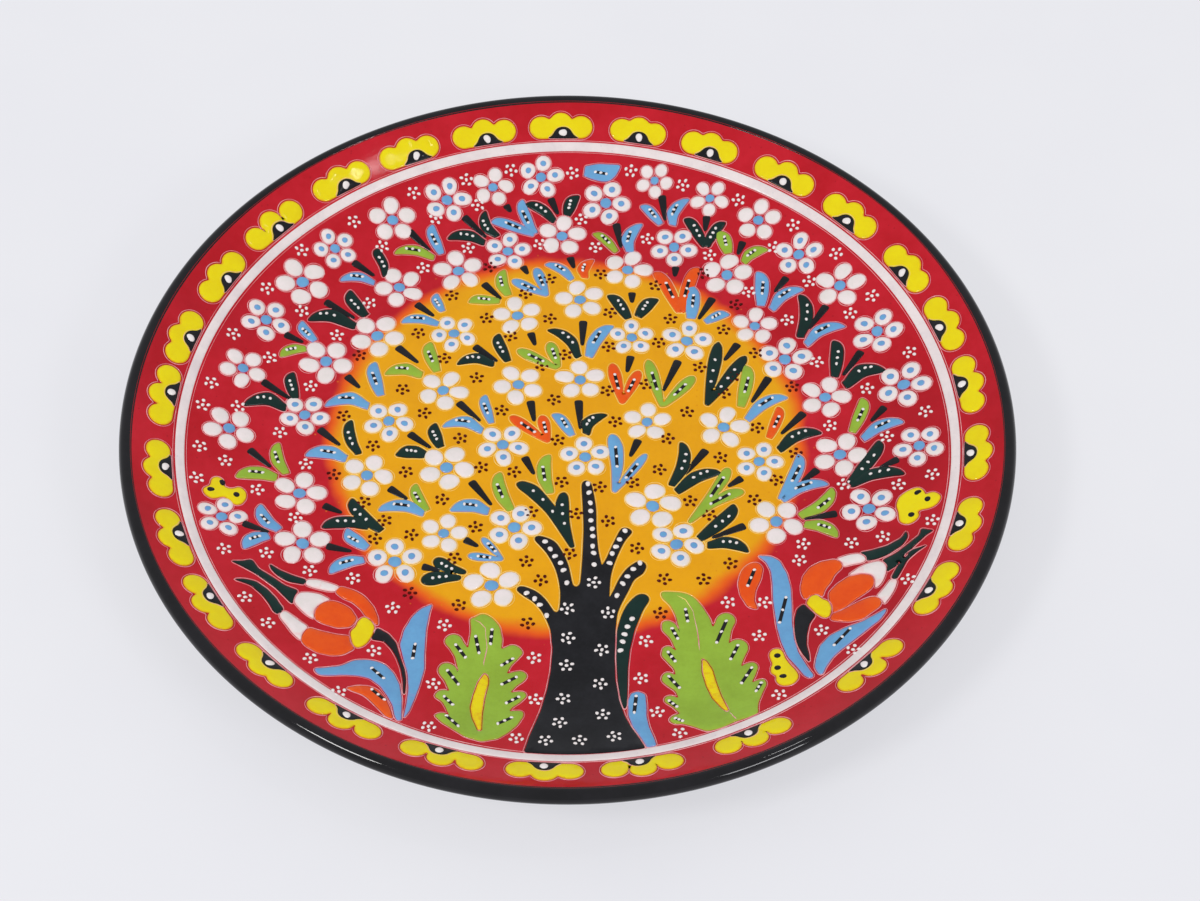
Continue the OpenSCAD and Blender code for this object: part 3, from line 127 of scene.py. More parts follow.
# ---- Reading the layout from the CAD nodes ----
def merged_net(name):
    """A CAD node's points and triangles, with doubled points made one."""
    net = bmesh.new()
    net.from_mesh(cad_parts[name].data)
    bmesh.ops.remove_doubles(net, verts=net.verts, dist=1e-6)
    copy = bpy.data.meshes.new("copy")
    net.to_mesh(copy)
    net.free()
    copy.calc_loop_triangles()
    points = np.empty(3 * len(copy.vertices))
    triangles = np.empty(3 * len(copy.loop_triangles), np.int64)
    copy.vertices.foreach_get("co", points)
    copy.loop_triangles.foreach_get("vertices", triangles)
    bpy.data.meshes.remove(copy)
    return points.reshape(-1, 3), triangles.reshape(-1, 3)


def lowest_reached(label, ends):
    """Passes the lower label across every edge until nothing changes, so each loose part shares one label."""
    while True:
        lower = label.copy()
        np.minimum.at(lower, ends[:, 0], label[ends[:, 1]])
        np.minimum.at(lower, ends[:, 1], label[ends[:, 0]])
        lower = lower[lower]
        if (lower == label).all():
            return label
        label = lower


def outlines(name):
    """Plan outlines of a node's solids, as one list of closed loops for each solid.  The loops are the edges
    that only one upward triangle has.  Each point's place in its loop is the number of steps left to the
    loop's last point, counted by doubling the stride."""
    points, triangles = merged_net(name)
    a, b, c = (points[triangles[:, k]] for k in range(3))
    normal = np.cross(b - a, c - a)
    normal /= np.maximum(np.linalg.norm(normal, axis=1), 1e-20)[:, None]
    top = triangles[(normal * dish_normal((a + b + c) / 3)).sum(1) > 0.7]
    count = len(points)
    sides = np.concatenate([triangles[:, [0, 1]], triangles[:, [1, 2]], triangles[:, [2, 0]]])
    solid = lowest_reached(np.arange(count), sides)
    edge = np.concatenate([top[:, [0, 1]], top[:, [1, 2]], top[:, [2, 0]]])
    rim = edge[~np.isin(edge[:, 0] * count + edge[:, 1], edge[:, 1] * count + edge[:, 0])]
    after = np.arange(count)
    after[rim[:, 0]] = rim[:, 1]
    loop, hop = np.arange(count), after.copy()
    strides = int(math.log2(max(len(rim), 2))) + 2
    for _ in range(strides):
        loop, hop = np.minimum(loop, loop[hop]), hop[hop]
    hop = np.where(after == loop, np.arange(count), after)
    left = (hop != np.arange(count)).astype(np.int64)
    for _ in range(strides):
        left, hop = left + left[hop], hop[hop]
    on = rim[:, 0]
    on = on[np.lexsort((-left[on], loop[on], solid[on]))]
    plan = off_dish(points[on])
    cuts = np.flatnonzero(np.diff(loop[on])) + 1
    found = {}
    for line, owner in zip(np.split(plan, cuts), np.split(solid[on], cuts)):
        if len(line) > 2:
            found.setdefault(int(owner[0]), []).append(line)
    return list(found.values())


def round_spots(name):
    """Centre and radius of each round solid of a node."""
    loops = [solid[0] for solid in outlines(name)]
    mid = np.array([loop.mean(0) for loop in loops])
    radius = np.array([np.linalg.norm(loop - loop.mean(0), axis=1).mean() for loop in loops])
    return mid, radius


# ---- Outlines as a hand lays them ----
def even_steps(line, step, closed=True):
    """Walks a line in steps of equal length."""
    path = np.vstack([line, line[:1]]) if closed else line
    run = np.r_[0, np.cumsum(np.linalg.norm(np.diff(path, axis=0), axis=1))]
    count = max(10, round(run[-1] / step))
    at = np.arange(count) / count * run[-1] if closed else np.linspace(0, run[-1], count)
    return np.stack([np.interp(at, run, path[:, 0]), np.interp(at, run, path[:, 1])], 1)


def flowing(loop, step, sharp=0.15):
    """A smooth closed curve through a loop's points.  Each stretch is a cubic whose end directions run
    parallel to the line between the neighbours, as long as the shorter side; where the loop turns sharply
    the direction fades to nothing, which keeps a pointed tip."""
    loop = loop[np.linalg.norm(np.roll(loop, -1, 0) - loop, axis=1) > 0.12 * MM]
    ahead, behind = np.roll(loop, -1, 0) - loop, loop - np.roll(loop, 1, 0)
    long_ahead, long_behind = (np.linalg.norm(v, axis=1) for v in (ahead, behind))
    turn = (ahead * behind).sum(1) / (long_ahead * long_behind)
    soft = np.clip((turn - sharp + 0.35) / 0.7, 0, 1)
    through = ahead / long_ahead[:, None] + behind / long_behind[:, None]
    through /= np.maximum(np.linalg.norm(through, axis=1), 1e-9)[:, None]
    pull = through * (soft * np.minimum(long_ahead, long_behind))[:, None]
    t = (np.arange(8) / 8)[None, :, None]
    p, q, u, v = (x[:, None] for x in (loop, np.roll(loop, -1, 0), pull, np.roll(pull, -1, 0)))
    curve = (2 * t**3 - 3 * t**2 + 1) * p + (t**3 - 2 * t**2 + t) * u + (3 * t**2 - 2 * t**3) * q + (t**3 - t**2) * v
    curve = even_steps(curve.reshape(-1, 2), step)
    return (np.roll(curve, 1, 0) + 2 * curve + np.roll(curve, -1, 0)) / 4


def outward(loop):
    """Unit normals of a closed plan loop, away from the enamel: its direction turned a quarter clockwise."""
    along = np.roll(loop, -1, 0) - np.roll(loop, 1, 0)
    along /= np.maximum(np.linalg.norm(along, axis=1), 1e-12)[:, None]
    return np.stack([along[:, 1], -along[:, 0]], 1)


def plan_area(loop):
    """Half the sum of x y' - x' y over a loop's sides."""
    return 0.5 * (loop[:, 0] * np.roll(loop[:, 1], -1) - loop[:, 1] * np.roll(loop[:, 0], -1)).sum()


def inside(points, loops):
    """Even-odd rule: a point is inside if a line to its right crosses the loops an odd number of times."""
    crossed = np.zeros(len(points), int)
    for loop in loops:
        a, b = loop, np.roll(loop, -1, 0)
        spans = (a[:, 1] > points[:, None, 1]) != (b[:, 1] > points[:, None, 1])
        rise = np.where(np.abs(b[:, 1] - a[:, 1]) < 1e-12, 1e-12, b[:, 1] - a[:, 1])
        crossing = a[:, 0] + (points[:, None, 1] - a[:, 1]) * (b[:, 0] - a[:, 0]) / rise
        crossed += (spans & (points[:, None, 0] < crossing)).sum(1)
    return crossed % 2 == 1


def to_outline(points, loops):
    """Shortest distance from each point to the loops' sides."""
    nearest = np.full(len(points), np.inf)
    for loop in loops:
        side = np.roll(loop, -1, 0) - loop
        gap = points[:, None] - loop
        along = np.clip((gap * side).sum(-1) / np.maximum((side**2).sum(-1), 1e-18), 0, 1)
        nearest = np.minimum(nearest, np.linalg.norm(gap - along[..., None] * side, axis=-1).min(1))
    return nearest


# ---- Meshes ----
def grid_faces(rows, turns, count=1, closed_rows=True, closed_turns=True):
    """Four-sided faces of a grid of rows by turns, which can close on itself either way, repeated count times."""
    i = np.arange(rows if closed_rows else rows - 1)[:, None]
    j = np.arange(turns if closed_turns else turns - 1)[None]
    i2, j2 = (i + 1) % rows, (j + 1) % turns
    quads = np.stack([i * turns + j, i2 * turns + j, i2 * turns + j2, i * turns + j2], -1).reshape(-1, 4)
    return (quads[None] + (np.arange(count) * rows * turns)[:, None, None]).reshape(-1, 4)


def piece(name, points, faces, material, stands_for=(), depth_mm=None, weld=True):
    """Makes a mesh piece of the plate.  depth_mm is each point's distance in from the enamel's edge."""
    mesh = bpy.data.meshes.new(name)
    mesh.from_pydata(points.reshape(-1, 3).tolist(), [], faces.tolist())
    if depth_mm is not None:
        layer = mesh.attributes.new("depth_mm", "FLOAT", "POINT")
        layer.data.foreach_set("value", np.ascontiguousarray(depth_mm, np.float32).ravel())
    if weld:
        net = bmesh.new()
        net.from_mesh(mesh)
        bmesh.ops.remove_doubles(net, verts=net.verts, dist=2e-7)
        net.to_mesh(mesh)
        net.free()
    mesh.polygons.foreach_set("use_smooth", np.ones(len(mesh.polygons), bool))
    mesh.materials.append(material)
    made = bpy.data.objects.new(name, mesh)
    bpy.context.scene.collection.objects.link(made)
    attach(made, "root")
    if stands_for:
        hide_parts(*stands_for)


def eased(count):
    """Numbers from 0 to 1 that crowd at both ends, as half a cosine wave does."""
    return 0.5 - 0.5 * np.cos(np.pi * np.linspace(0, 1, count))


def wander(turn, amount, seed):
    """A slow unevenness round the plate: waves of 2 to 9 to the turn, each weaker than the last, at seeded phases."""
    waves = np.arange(2, 10)
    phase = np.random.default_rng(seed).uniform(0, 2 * np.pi, len(waves))
    return amount * (np.sin(turn[:, None] * waves + phase) / np.sqrt(waves)).sum(1)


def wall_line(turns, depth):
    """Points of the wall's section at turns of its arc, depth below the face."""
    turns = np.asarray(turns, float)
    reach = ARC_R + depth
    return np.stack([FLOOR_R + reach * np.sin(turns), FLOOR_Z + ARC_R - reach * np.cos(turns)], -1)


def lip_line(turns, radius):
    """Points round the lip's centre at turns from the outward level, radius away."""
    mid = wall_line([LIP_TURN], LIP_R)[0]
    return mid + np.asarray(radius)[..., None] * np.stack([np.cos(turns), np.sin(turns)], -1)


def corner(mid, radius, start, end, count=6):
    """An arc of a rounded corner in the section, angles in degrees."""
    turn = np.radians(np.linspace(start, end, count))
    return np.array(mid) + radius * np.stack([np.cos(turn), np.sin(turn)], 1)


def turned(name, section, material, stands_for, open_rows=False):
    """Turns a section round the axis: grid point (i, j) is the section's point i at turn j.  The section runs
    outward over the top and back underneath, so faces point out.  It may differ from turn to turn."""
    turn = 2 * np.pi * np.arange(TURNS) / TURNS
    section = np.broadcast_to(section, (TURNS, *section.shape[-2:])).transpose(1, 0, 2)
    points = np.stack([section[..., 0] * np.cos(turn), section[..., 0] * np.sin(turn), section[..., 1]], -1)
    faces = grid_faces(len(points), TURNS, closed_rows=not open_rows)
    piece(name, points, faces, material, stands_for)


def drops(name, mid, radius, spokes, base, height, material, stands_for=(), bulge=4.0,
          stretch=0.0, stretch_way=None, egg=0.0, uneven=0.06, seed=1):
    """Rounded drops.  A drop's edge is its radius times 1 + stretch cos 2(a - way) + egg cos(a - way) plus a
    little seeded unevenness; its height at a share k of the radius is height * sqrt(1 - k ** bulge)."""
    chance = np.random.default_rng(seed)
    shares = np.array(DROP_SHARES)[:, None]
    lift = base + height * np.sqrt(np.clip(1 - shares**bulge, 0, 1))
    lift[-2:] = base
    turn = 2 * np.pi * np.arange(spokes) / spokes
    count = len(mid)
    way = chance.uniform(0, 2 * np.pi, count) if stretch_way is None else stretch_way
    own, own_way = chance.uniform(0, uneven, count), chance.uniform(0, np.pi, count)
    edge = 1 + stretch * np.cos(2 * (turn - way[:, None])) + egg * np.cos(turn - way[:, None])
    edge = edge + own[:, None] * np.cos(2 * (turn - own_way[:, None]))
    edge = edge + 0.35 * own[:, None] * np.cos(3 * turn - own_way[:, None])
    reach = shares[None] * (edge * radius[:, None])[:, None]
    plan = mid[:, None, None] + reach[..., None] * np.stack([np.cos(turn), np.sin(turn)], -1)
    points = on_dish(plan, np.broadcast_to(lift[None], reach.shape))
    depth = np.broadcast_to((1 - shares)[None] * radius[:, None, None], reach.shape).copy() / MM
    depth[:, -1] = 0
    faces = grid_faces(len(shares), spokes, count, closed_rows=False)
    piece(name, points, faces, material, stands_for, depth)


def inset(loop, gap):
    """A closed plan loop moved in by a gap."""
    return loop - gap * outward(loop)


def coat_net(loops, spacing, edge, base, height):
    """Fills outlines with a triangular net and raises it into a coat with a rounded edge.  The height at a
    distance d in from the outline is height * sqrt(1 - (1 - d / edge)^2), level beyond the edge's width.
    The same net, turned over at the base, closes it underneath."""
    low, high = loops[0].min(0), loops[0].max(0)
    x, y = np.meshgrid(np.arange(low[0], high[0], spacing), np.arange(low[1], high[1], 0.87 * spacing))
    x[1::2] += spacing / 2
    field = np.stack([x.ravel(), y.ravel()], 1)
    field = field[inside(field, loops)]
    field = field[to_outline(field, loops) > 0.62 * edge + 0.45 * spacing] if len(field) else field
    rows = [field]
    for share in (0.16, 0.6):
        row = np.vstack([inset(loop, share * edge) for loop in loops])
        keep = inside(row, loops)
        keep[keep] = to_outline(row[keep], loops) > 0.85 * share * edge
        rows.append(row[keep])
    sides, start = [], 0
    for loop in loops:
        number = start + np.arange(len(loop))
        sides += np.stack([number, np.roll(number, -1)], 1).tolist()
        start += len(loop)
    plan = np.vstack([*loops, *rows]) / MM
    plan, _, cells, *_ = delaunay_2d_cdt(plan.tolist(), sides, [], 0, 1e-5, False)
    plan, cells = np.array(plan) * MM, np.array(cells)
    cells = cells[inside(plan[cells].mean(1), loops)]
    a, b, c = (plan[cells[:, k]] for k in range(3))
    area = (b[:, 0] - a[:, 0]) * (c[:, 1] - a[:, 1]) - (b[:, 1] - a[:, 1]) * (c[:, 0] - a[:, 0])
    cells = np.where((area < 0)[:, None], cells[:, ::-1], cells)
    depth = to_outline(plan, loops)
    depth[depth < 0.01 * MM] = 0
    lift = base + height * np.sqrt(1 - (1 - np.clip(depth / edge, 0, 1)) ** 2)
    count = len(plan)
    below = np.where(depth > 0, count + np.arange(count), np.arange(count))
    points = np.vstack([on_dish(plan, lift), on_dish(plan, np.full(count, base))])
    depth = np.r_[depth, depth] / MM
    faces = np.vstack([cells, below[cells][:, ::-1]])
    used, back = np.unique(faces, return_inverse=True)
    return points[used], back.reshape(-1, 3), depth[used]


def joined(nets):
    """Several nets as one: points stacked, and face numbers moved on past the nets before."""
    starts = np.cumsum([0] + [len(n[0]) for n in nets[:-1]])
    faces = np.vstack([n[1] + s for n, s in zip(nets, starts)])
    return np.vstack([n[0] for n in nets]), faces, np.concatenate([n[2] for n in nets])


def wing(loop, stems):
    """Redraws a plain leaf as a brush lays it, given the middles of the stems.  With s from 0 at the
    root to 1 at the tip, the middle line leans away from the nearest stem by 0.3 W s^2, where W is half the
    leaf's width.  Each half is W (0.55 + 0.45 sin(90 deg * s / 0.6)) wide up to s = 0.6 and then level, and it
    closes as (1 - u^n)^(1/n), where u runs from 0 at s = 0.7 to 1 at the tip: n is 5 on the outer side, which
    leaves a corner, and 2.2 on the stem side.  The corner stands a third of W ahead."""
    gaps = np.linalg.norm(loop[:, None] - loop, axis=2)
    first, last = np.unravel_index(gaps.argmax(), gaps.shape)
    length = gaps[first, last]
    spine = (loop[last] - loop[first]) / length
    across = np.array([-spine[1], spine[0]])
    loop = np.roll(loop, -first, 0)
    there = int(np.linalg.norm(loop - loop[0], axis=1).argmax())
    one, other = loop[: there + 1], np.vstack([loop[there:], loop[:1]])[::-1]
    grid = np.linspace(0, 1, 41)
    side = [np.interp(grid, np.maximum.accumulate((half - loop[0]) @ spine / length), (half - loop[0]) @ across)
            for half in (one, other)]
    middle, width = (side[0] + side[1]) / 2, np.abs(side[0] - side[1]) / 2
    root = loop[0]
    if width[25:].sum() < width[:16].sum():
        root, spine, across, middle = loop[there], -spine, -across, -middle[::-1]
    full = width.max()
    centre = root + 0.5 * length * spine
    if (stems[np.linalg.norm(stems - centre, axis=1).argmin()] - centre) @ across > 0:
        across, middle = -across, -middle
    s = 1 - (1 - np.linspace(0, 1, 60)) ** 2.5
    u = np.clip((s - 0.7) / 0.3, 0, 1)
    swell = full * (0.55 + 0.45 * np.sin(np.pi / 2 * np.clip(s / 0.6, 0, 1)))
    lean = np.interp(s, grid, middle) + 0.3 * full * s**2
    halves = []
    for way, power in ((1, 5.0), (-1, 2.2)):
        y = way * swell * (1 - u**power) ** (1 / power)
        ahead = 0.34 * np.clip((s - 0.5) / 0.5, 0, 1) * y
        halves.append(root + (s * length + ahead)[:, None] * spine + (lean + y)[:, None] * across)
    shape = np.vstack([halves[0], halves[1][-2::-1]])
    return shape if plan_area(shape) > 0 else shape[::-1]


def as_laid(loop, step, stems):
    """An outline as laid: smooth, and redrawn as a wing if it is a single leaf."""
    smooth = flowing(loop, step)
    if stems is None or len(loop) >= FUSED_POINTS:
        return smooth
    return even_steps(wing(smooth, stems), step)


def enamel(node, material, base=COAT_BASE, height=DROP_H, edge=0.8 * MM, step=0.6 * MM, spacing=1.6 * MM,
           grow=0.08 * MM, stems=None):
    """Coats of enamel on every outline of a node, returned as laid.  Leaves are given the middles of the
    stems, and each of their loops is a coat of its own."""
    solids = outlines(node)
    if stems is not None:
        solids = [[loop] for solid in solids for loop in solid]
    laid = [[as_laid(loop, step, stems) for loop in solid] for solid in solids]
    laid = [[loop + grow * outward(loop) for loop in solid] for solid in laid]
    points, faces, depth = joined([coat_net(solid, spacing, edge, base, height) for solid in laid])
    piece(node, points, faces, material, [node], depth, weld=False)
    return [loop for solid in laid for loop in solid]


def line_net(path, half_w, height, seed, closed=True, base=COAT_BASE):
    """A raised line along a plan path: three points across at -1, 0 and 1 half widths, the middle one raised.
    Its width and place waver a little, and an open line thins to nothing at its ends."""
    chance = np.random.default_rng(seed)
    count = len(path)
    run = np.arange(count) / count * 2 * np.pi
    waver = sum(np.sin(run * k + chance.uniform(0, 6.3)) / k for k in (1, 2, 3, 5))
    width = half_w * (1 + 0.16 * waver)
    if closed:
        normal = outward(path)
    else:
        along = np.gradient(path, axis=0)
        along /= np.linalg.norm(along, axis=1)[:, None]
        normal = np.stack([along[:, 1], -along[:, 0]], 1)
        fade = np.minimum(1, 6 * np.minimum(np.linspace(0, 1, count), np.linspace(1, 0, count)))
        width = width * fade
    across = np.array([-1, 0, 1])[:, None, None]
    plan = path + normal * (0.25 * half_w * np.roll(waver, count // 3))[:, None] + across * width[:, None] * normal
    lift = base + np.array([0, height, 0])[:, None] * (width / half_w)
    return on_dish(plan, lift).reshape(-1, 3), grid_faces(3, count, closed_turns=closed), np.zeros(3 * count)


def contours(name, loops, gap, half_w, height, material, step=0.8 * MM, base=COAT_BASE, extra=()):
    """Contour lines trailed round outlines, a gap outside them.  In a notch too narrow for the line, the points
    that come nearer than 0.8 of the gap are left out."""
    nets = []
    for k, loop in enumerate(loops):
        path = loop + gap * outward(loop)
        path = path[to_outline(path, [loop]) > 0.8 * gap]
        nets.append(line_net(even_steps(path, step), half_w, height, k, base=base))
    points, faces, depth = joined(nets + list(extra))
    piece(name, points, faces, material, (), depth)


# ---- Node groups for the finishes ----
def linear(*colour):
    """Screen colour, 0 to 255, as linear light."""
    c = np.array(colour, float) / 255
    return (*np.where(c <= 0.04045, c / 12.92, ((c + 0.055) / 1.055) ** 2.4).tolist(), 1.0)


def add(tree, kind, inputs=None, **settings):
    """Adds a node; an input that is a socket is linked, any other value is set."""
    made = tree.nodes.new(kind)
    for key, value in settings.items():
        setattr(made, key, value)
    for key, value in (inputs or {}).items():
        if isinstance(value, bpy.types.NodeSocket):
            tree.links.new(value, made.inputs[key])
        else:
            made.inputs[key].default_value = value
    return made


def new_group(name, inputs, outputs):
    """A node group with named sockets: the group, its input node's outputs and its output node's inputs."""
    group = bpy.data.node_groups.new(name, "ShaderNodeTree")
    for label, value in inputs.items():
        kind = "NodeSocketColor" if isinstance(value, tuple) else "NodeSocketFloat"
        group.interface.new_socket(label, in_out="INPUT", socket_type=kind).default_value = value
    for label, kind in outputs.items():
        group.interface.new_socket(label, in_out="OUTPUT", socket_type=kind)
    return group, group.nodes.new("NodeGroupInput").outputs, group.nodes.new("NodeGroupOutput").inputs


def ramp(tree, value, low, high, to_low=0.0, to_high=1.0):
    """A smooth step from to_low to to_high as the value goes from low to high."""
    inputs = {"Value": value, "From Min": low, "From Max": high, "To Min": to_low, "To Max": to_high}
    return add(tree, "ShaderNodeMapRange", inputs, interpolation_type="SMOOTHSTEP").outputs["Result"]


def blend(tree, share, a, b):
    """Colour a going over to colour b as the share goes from 0 to 1."""
    mix = add(tree, "ShaderNodeMix", data_type="RGBA")
    for place, value in ((0, share), (6, a), (7, b)):
        if isinstance(value, bpy.types.NodeSocket):
            tree.links.new(value, mix.inputs[place])
        else:
            mix.inputs[place].default_value = value
    return mix.outputs[2]


def times(tree, a, b):
    """The product of two values."""
    return add(tree, "ShaderNodeMath", {0: a, 1: b}, operation="MULTIPLY").outputs[0]


def noise(tree, scale, detail=3.0, rough=0.5):
    """Cloudy noise on the object's own coordinates."""
    place = add(tree, "ShaderNodeTexCoord").outputs["Object"]
    inputs = {"Vector": place, "Scale": scale, "Detail": detail, "Roughness": rough}
    return add(tree, "ShaderNodeTexNoise", inputs).outputs[0]


WHITE = (1.0, 1.0, 1.0, 1.0)


def make_pigment_group():
    """Brushed pigment: a full and a thin colour mixed by broad cloudy strokes and a fine grain."""
    group, given, out = new_group("Brushed pigment", {"Full": WHITE, "Thin": WHITE, "Stroke scale": 60.0,
                                  "Unevenness": 0.5}, {"Colour": "NodeSocketColor"})
    broad = ramp(group, noise(group, given["Stroke scale"], 4.0, 0.6), 0.32, 0.7)
    fine = ramp(group, noise(group, times(group, given["Stroke scale"], 9.0), 2.0), 0.35, 0.75)
    both = add(group, "ShaderNodeMath", {0: times(group, broad, 0.75), 1: times(group, fine, 0.25)}, operation="ADD")
    share = times(group, both.outputs[0], given["Unevenness"])
    group.links.new(blend(group, share, given["Full"], given["Thin"]), out["Colour"])
    return group


def make_skin_group():
    """Glaze skin: long ripples and a faint orange peel as a normal, and a patchy roughness."""
    group, given, out = new_group(
        "Glaze skin", {"Ripple scale": 90.0, "Ripple depth": 1.0, "Smooth": 0.05, "Dull": 0.14},
        {"Normal": "NodeSocketVector", "Roughness": "NodeSocketFloat"})
    long_wave = noise(group, given["Ripple scale"], 1.0)
    peel = times(group, noise(group, times(group, given["Ripple scale"], 8.0), 1.0), 0.12)
    height = add(group, "ShaderNodeMath", {0: long_wave, 1: peel}, operation="ADD").outputs[0]
    distance = times(group, given["Ripple depth"], 0.00012)
    bump = add(group, "ShaderNodeBump", {"Strength": 1.0, "Distance": distance, "Height": height})
    group.links.new(bump.outputs[0], out["Normal"])
    patch = ramp(group, noise(group, 40.0, 4.0, 0.65), 0.35, 0.75)
    rough = add(group, "ShaderNodeMapRange", {"Value": patch, "To Min": given["Smooth"], "To Max": given["Dull"]})
    group.links.new(rough.outputs[0], out["Roughness"])
    return group


def make_edge_group():
    """Thin edge: enamel drawn thin at its edge lets another colour through, wavering as the hand did."""
    group, given, out = new_group("Thin edge", {"Body": WHITE, "Edge": WHITE, "Reach mm": 0.6, "Cover": 1.0},
                                  {"Colour": "NodeSocketColor"})
    depth = add(group, "ShaderNodeAttribute", attribute_name="depth_mm").outputs["Fac"]
    waver = ramp(group, noise(group, 700.0, 2.0), 0.2, 0.8, 0.5, 1.5)
    share = ramp(group, add(group, "ShaderNodeMath", {0: depth, 1: times(group, given["Reach mm"], waver)},
                            operation="DIVIDE").outputs[0], 0.0, 1.0, 1.0, 0.0)
    group.links.new(blend(group, times(group, share, given["Cover"]), given["Body"], given["Edge"]), out["Colour"])
    return group


def make_fleck_group():
    """Flecks: small round specks of another colour, strewn by the cells of a fine net, few of them kept."""
    group, given, out = new_group("Kiln flecks", {"Body": WHITE, "Fleck": WHITE, "Fleck scale": 500.0, "Cover": 0.5},
                                  {"Colour": "NodeSocketColor"})
    place = add(group, "ShaderNodeTexCoord").outputs["Object"]
    cell = add(group, "ShaderNodeTexVoronoi", {"Vector": place, "Scale": given["Fleck scale"]})
    speck = ramp(group, cell.outputs["Distance"], 0.1, 0.22, 1.0, 0.0)
    pick = add(group, "ShaderNodeSeparateColor", {0: cell.outputs["Color"]}).outputs[0]
    share = times(group, times(group, speck, ramp(group, pick, 0.78, 0.85)), given["Cover"])
    group.links.new(blend(group, share, given["Body"], given["Fleck"]), out["Colour"])
    return group


def make_sun_group():
    """Sun mask: 1 well inside the sun's disc and 0 outside, over a soft brushed edge."""
    group, given, out = new_group("Sun mask", {"Radius": SUN_R, "Softness": 0.006}, {"Mask": "NodeSocketFloat"})
    place = add(group, "ShaderNodeTexCoord").outputs["Object"]
    centred = add(group, "ShaderNodeMapping", {"Vector": place, "Location": (-SUN_MID[0], -SUN_MID[1], 0),
                                               "Scale": (1, 1, 0)}).outputs[0]
    reach = add(group, "ShaderNodeVectorMath", {0: centred}, operation="LENGTH").outputs["Value"]
    waver = times(group, noise(group, 60.0, 3.0), 0.006)
    reach = add(group, "ShaderNodeMath", {0: reach, 1: waver}, operation="ADD").outputs[0]
    past = add(group, "ShaderNodeMath", {0: reach, 1: given["Radius"]}, operation="SUBTRACT").outputs[0]
    share = add(group, "ShaderNodeMath", {0: past, 1: given["Softness"]}, operation="DIVIDE").outputs[0]
    group.links.new(ramp(group, share, -0.7, 0.5, 1.0, 0.0), out["Mask"])
    return group


PIGMENT, SKIN, EDGE, FLECKS, SUN = (
    make_pigment_group(), make_skin_group(), make_edge_group(), make_fleck_group(), make_sun_group())


def use(tree, group, **inputs):
    """Places a group in a tree with its own values, and gives its outputs.  An underscore stands for a space."""
    made = tree.nodes.new("ShaderNodeGroup")
    made.node_tree = group
    for key, value in inputs.items():
        key = key.replace("_", " ")
        if isinstance(value, bpy.types.NodeSocket):
            tree.links.new(value, made.inputs[key])
        else:
            made.inputs[key].default_value = value
    return made.outputs


def glazed(name, full, thin, stroke=60.0, uneven=0.6, edge=None, reach=0.6, cover=1.0, fleck=None, fleck_cover=0.5,
           ripple=1.0, ripple_scale=90.0, smooth=0.05, dull=0.14, gloss=0.22, colour=None):
    """A glossy glaze: brushed pigment, an edge that thins, a few flecks, and a rippled skin."""
    material = bpy.data.materials.new(name)
    material.use_nodes = True
    tree = material.node_tree
    shader = tree.nodes["Principled BSDF"]
    shader.inputs["IOR"].default_value = 1.5
    shader.inputs["Specular IOR Level"].default_value = gloss
    if colour is None:
        colour = use(tree, PIGMENT, Full=full, Thin=thin, Stroke_scale=stroke, Unevenness=uneven)["Colour"]
    else:
        colour = colour(tree)
    if edge:
        edge = edge(tree) if callable(edge) else edge
        colour = use(tree, EDGE, Body=colour, Edge=edge, Reach_mm=reach, Cover=cover)["Colour"]
    if fleck:
        colour = use(tree, FLECKS, Body=colour, Fleck=fleck, Cover=fleck_cover)["Colour"]
    tree.links.new(colour, shader.inputs["Base Color"])
    skin = use(tree, SKIN, Ripple_scale=ripple_scale, Ripple_depth=ripple, Smooth=smooth, Dull=dull)
    tree.links.new(skin["Roughness"], shader.inputs["Roughness"])
    tree.links.new(skin["Normal"], shader.inputs["Normal"])
    return material


RED_FULL, RED_THIN = linear(177, 9, 25), linear(193, 24, 41)
SUN_FULL, SUN_THIN = linear(229, 161, 0), linear(220, 151, 0)


def red_ground(tree):
    """Red pigment, deeper where the brush doubled back."""
    body = use(tree, PIGMENT, Full=RED_FULL, Thin=RED_THIN, Stroke_scale=38.0, Unevenness=1.0)["Colour"]
    deep = ramp(tree, noise(tree, 14.0, 3.0, 0.6), 0.5, 0.72, 0.0, 0.55)
    return blend(tree, deep, body, linear(153, 4, 21))


def sun_ground(tree):
    """Orange over red: a broad soft band of darker orange, then red, at the sun's edge."""
    orange = use(tree, PIGMENT, Full=SUN_FULL, Thin=SUN_THIN, Stroke_scale=70.0, Unevenness=0.9)["Colour"]
    ember = linear(226, 84, 14)
    outer = use(tree, SUN, Radius=SUN_R + 0.0018, Softness=0.003)["Mask"]
    inner = use(tree, SUN, Radius=SUN_R - 0.0015, Softness=0.005)["Mask"]
    return blend(tree, outer, red_ground(tree), blend(tree, inner, ember, orange))


def line_colour(tree):
    """Contour slip: pale pink over the red, cream over the orange."""
    over_sun = use(tree, SUN, Radius=SUN_R, Softness=0.006)["Mask"]
    pink, cream = (use(tree, PIGMENT, Full=full, Thin=thin, Stroke_scale=160.0, Unevenness=1.0)["Colour"]
                   for full, thin in ((linear(240, 178, 180), linear(214, 112, 120)),
                                      (linear(252, 224, 140), linear(242, 196, 84))))
    return blend(tree, over_sun, pink, cream)


def petal_edge(tree):
    """The thin edge of white enamel: rosy over the red, straw over the orange."""
    over_sun = use(tree, SUN, Radius=SUN_R, Softness=0.006)["Mask"]
    return blend(tree, over_sun, linear(234, 190, 188), linear(240, 212, 150))


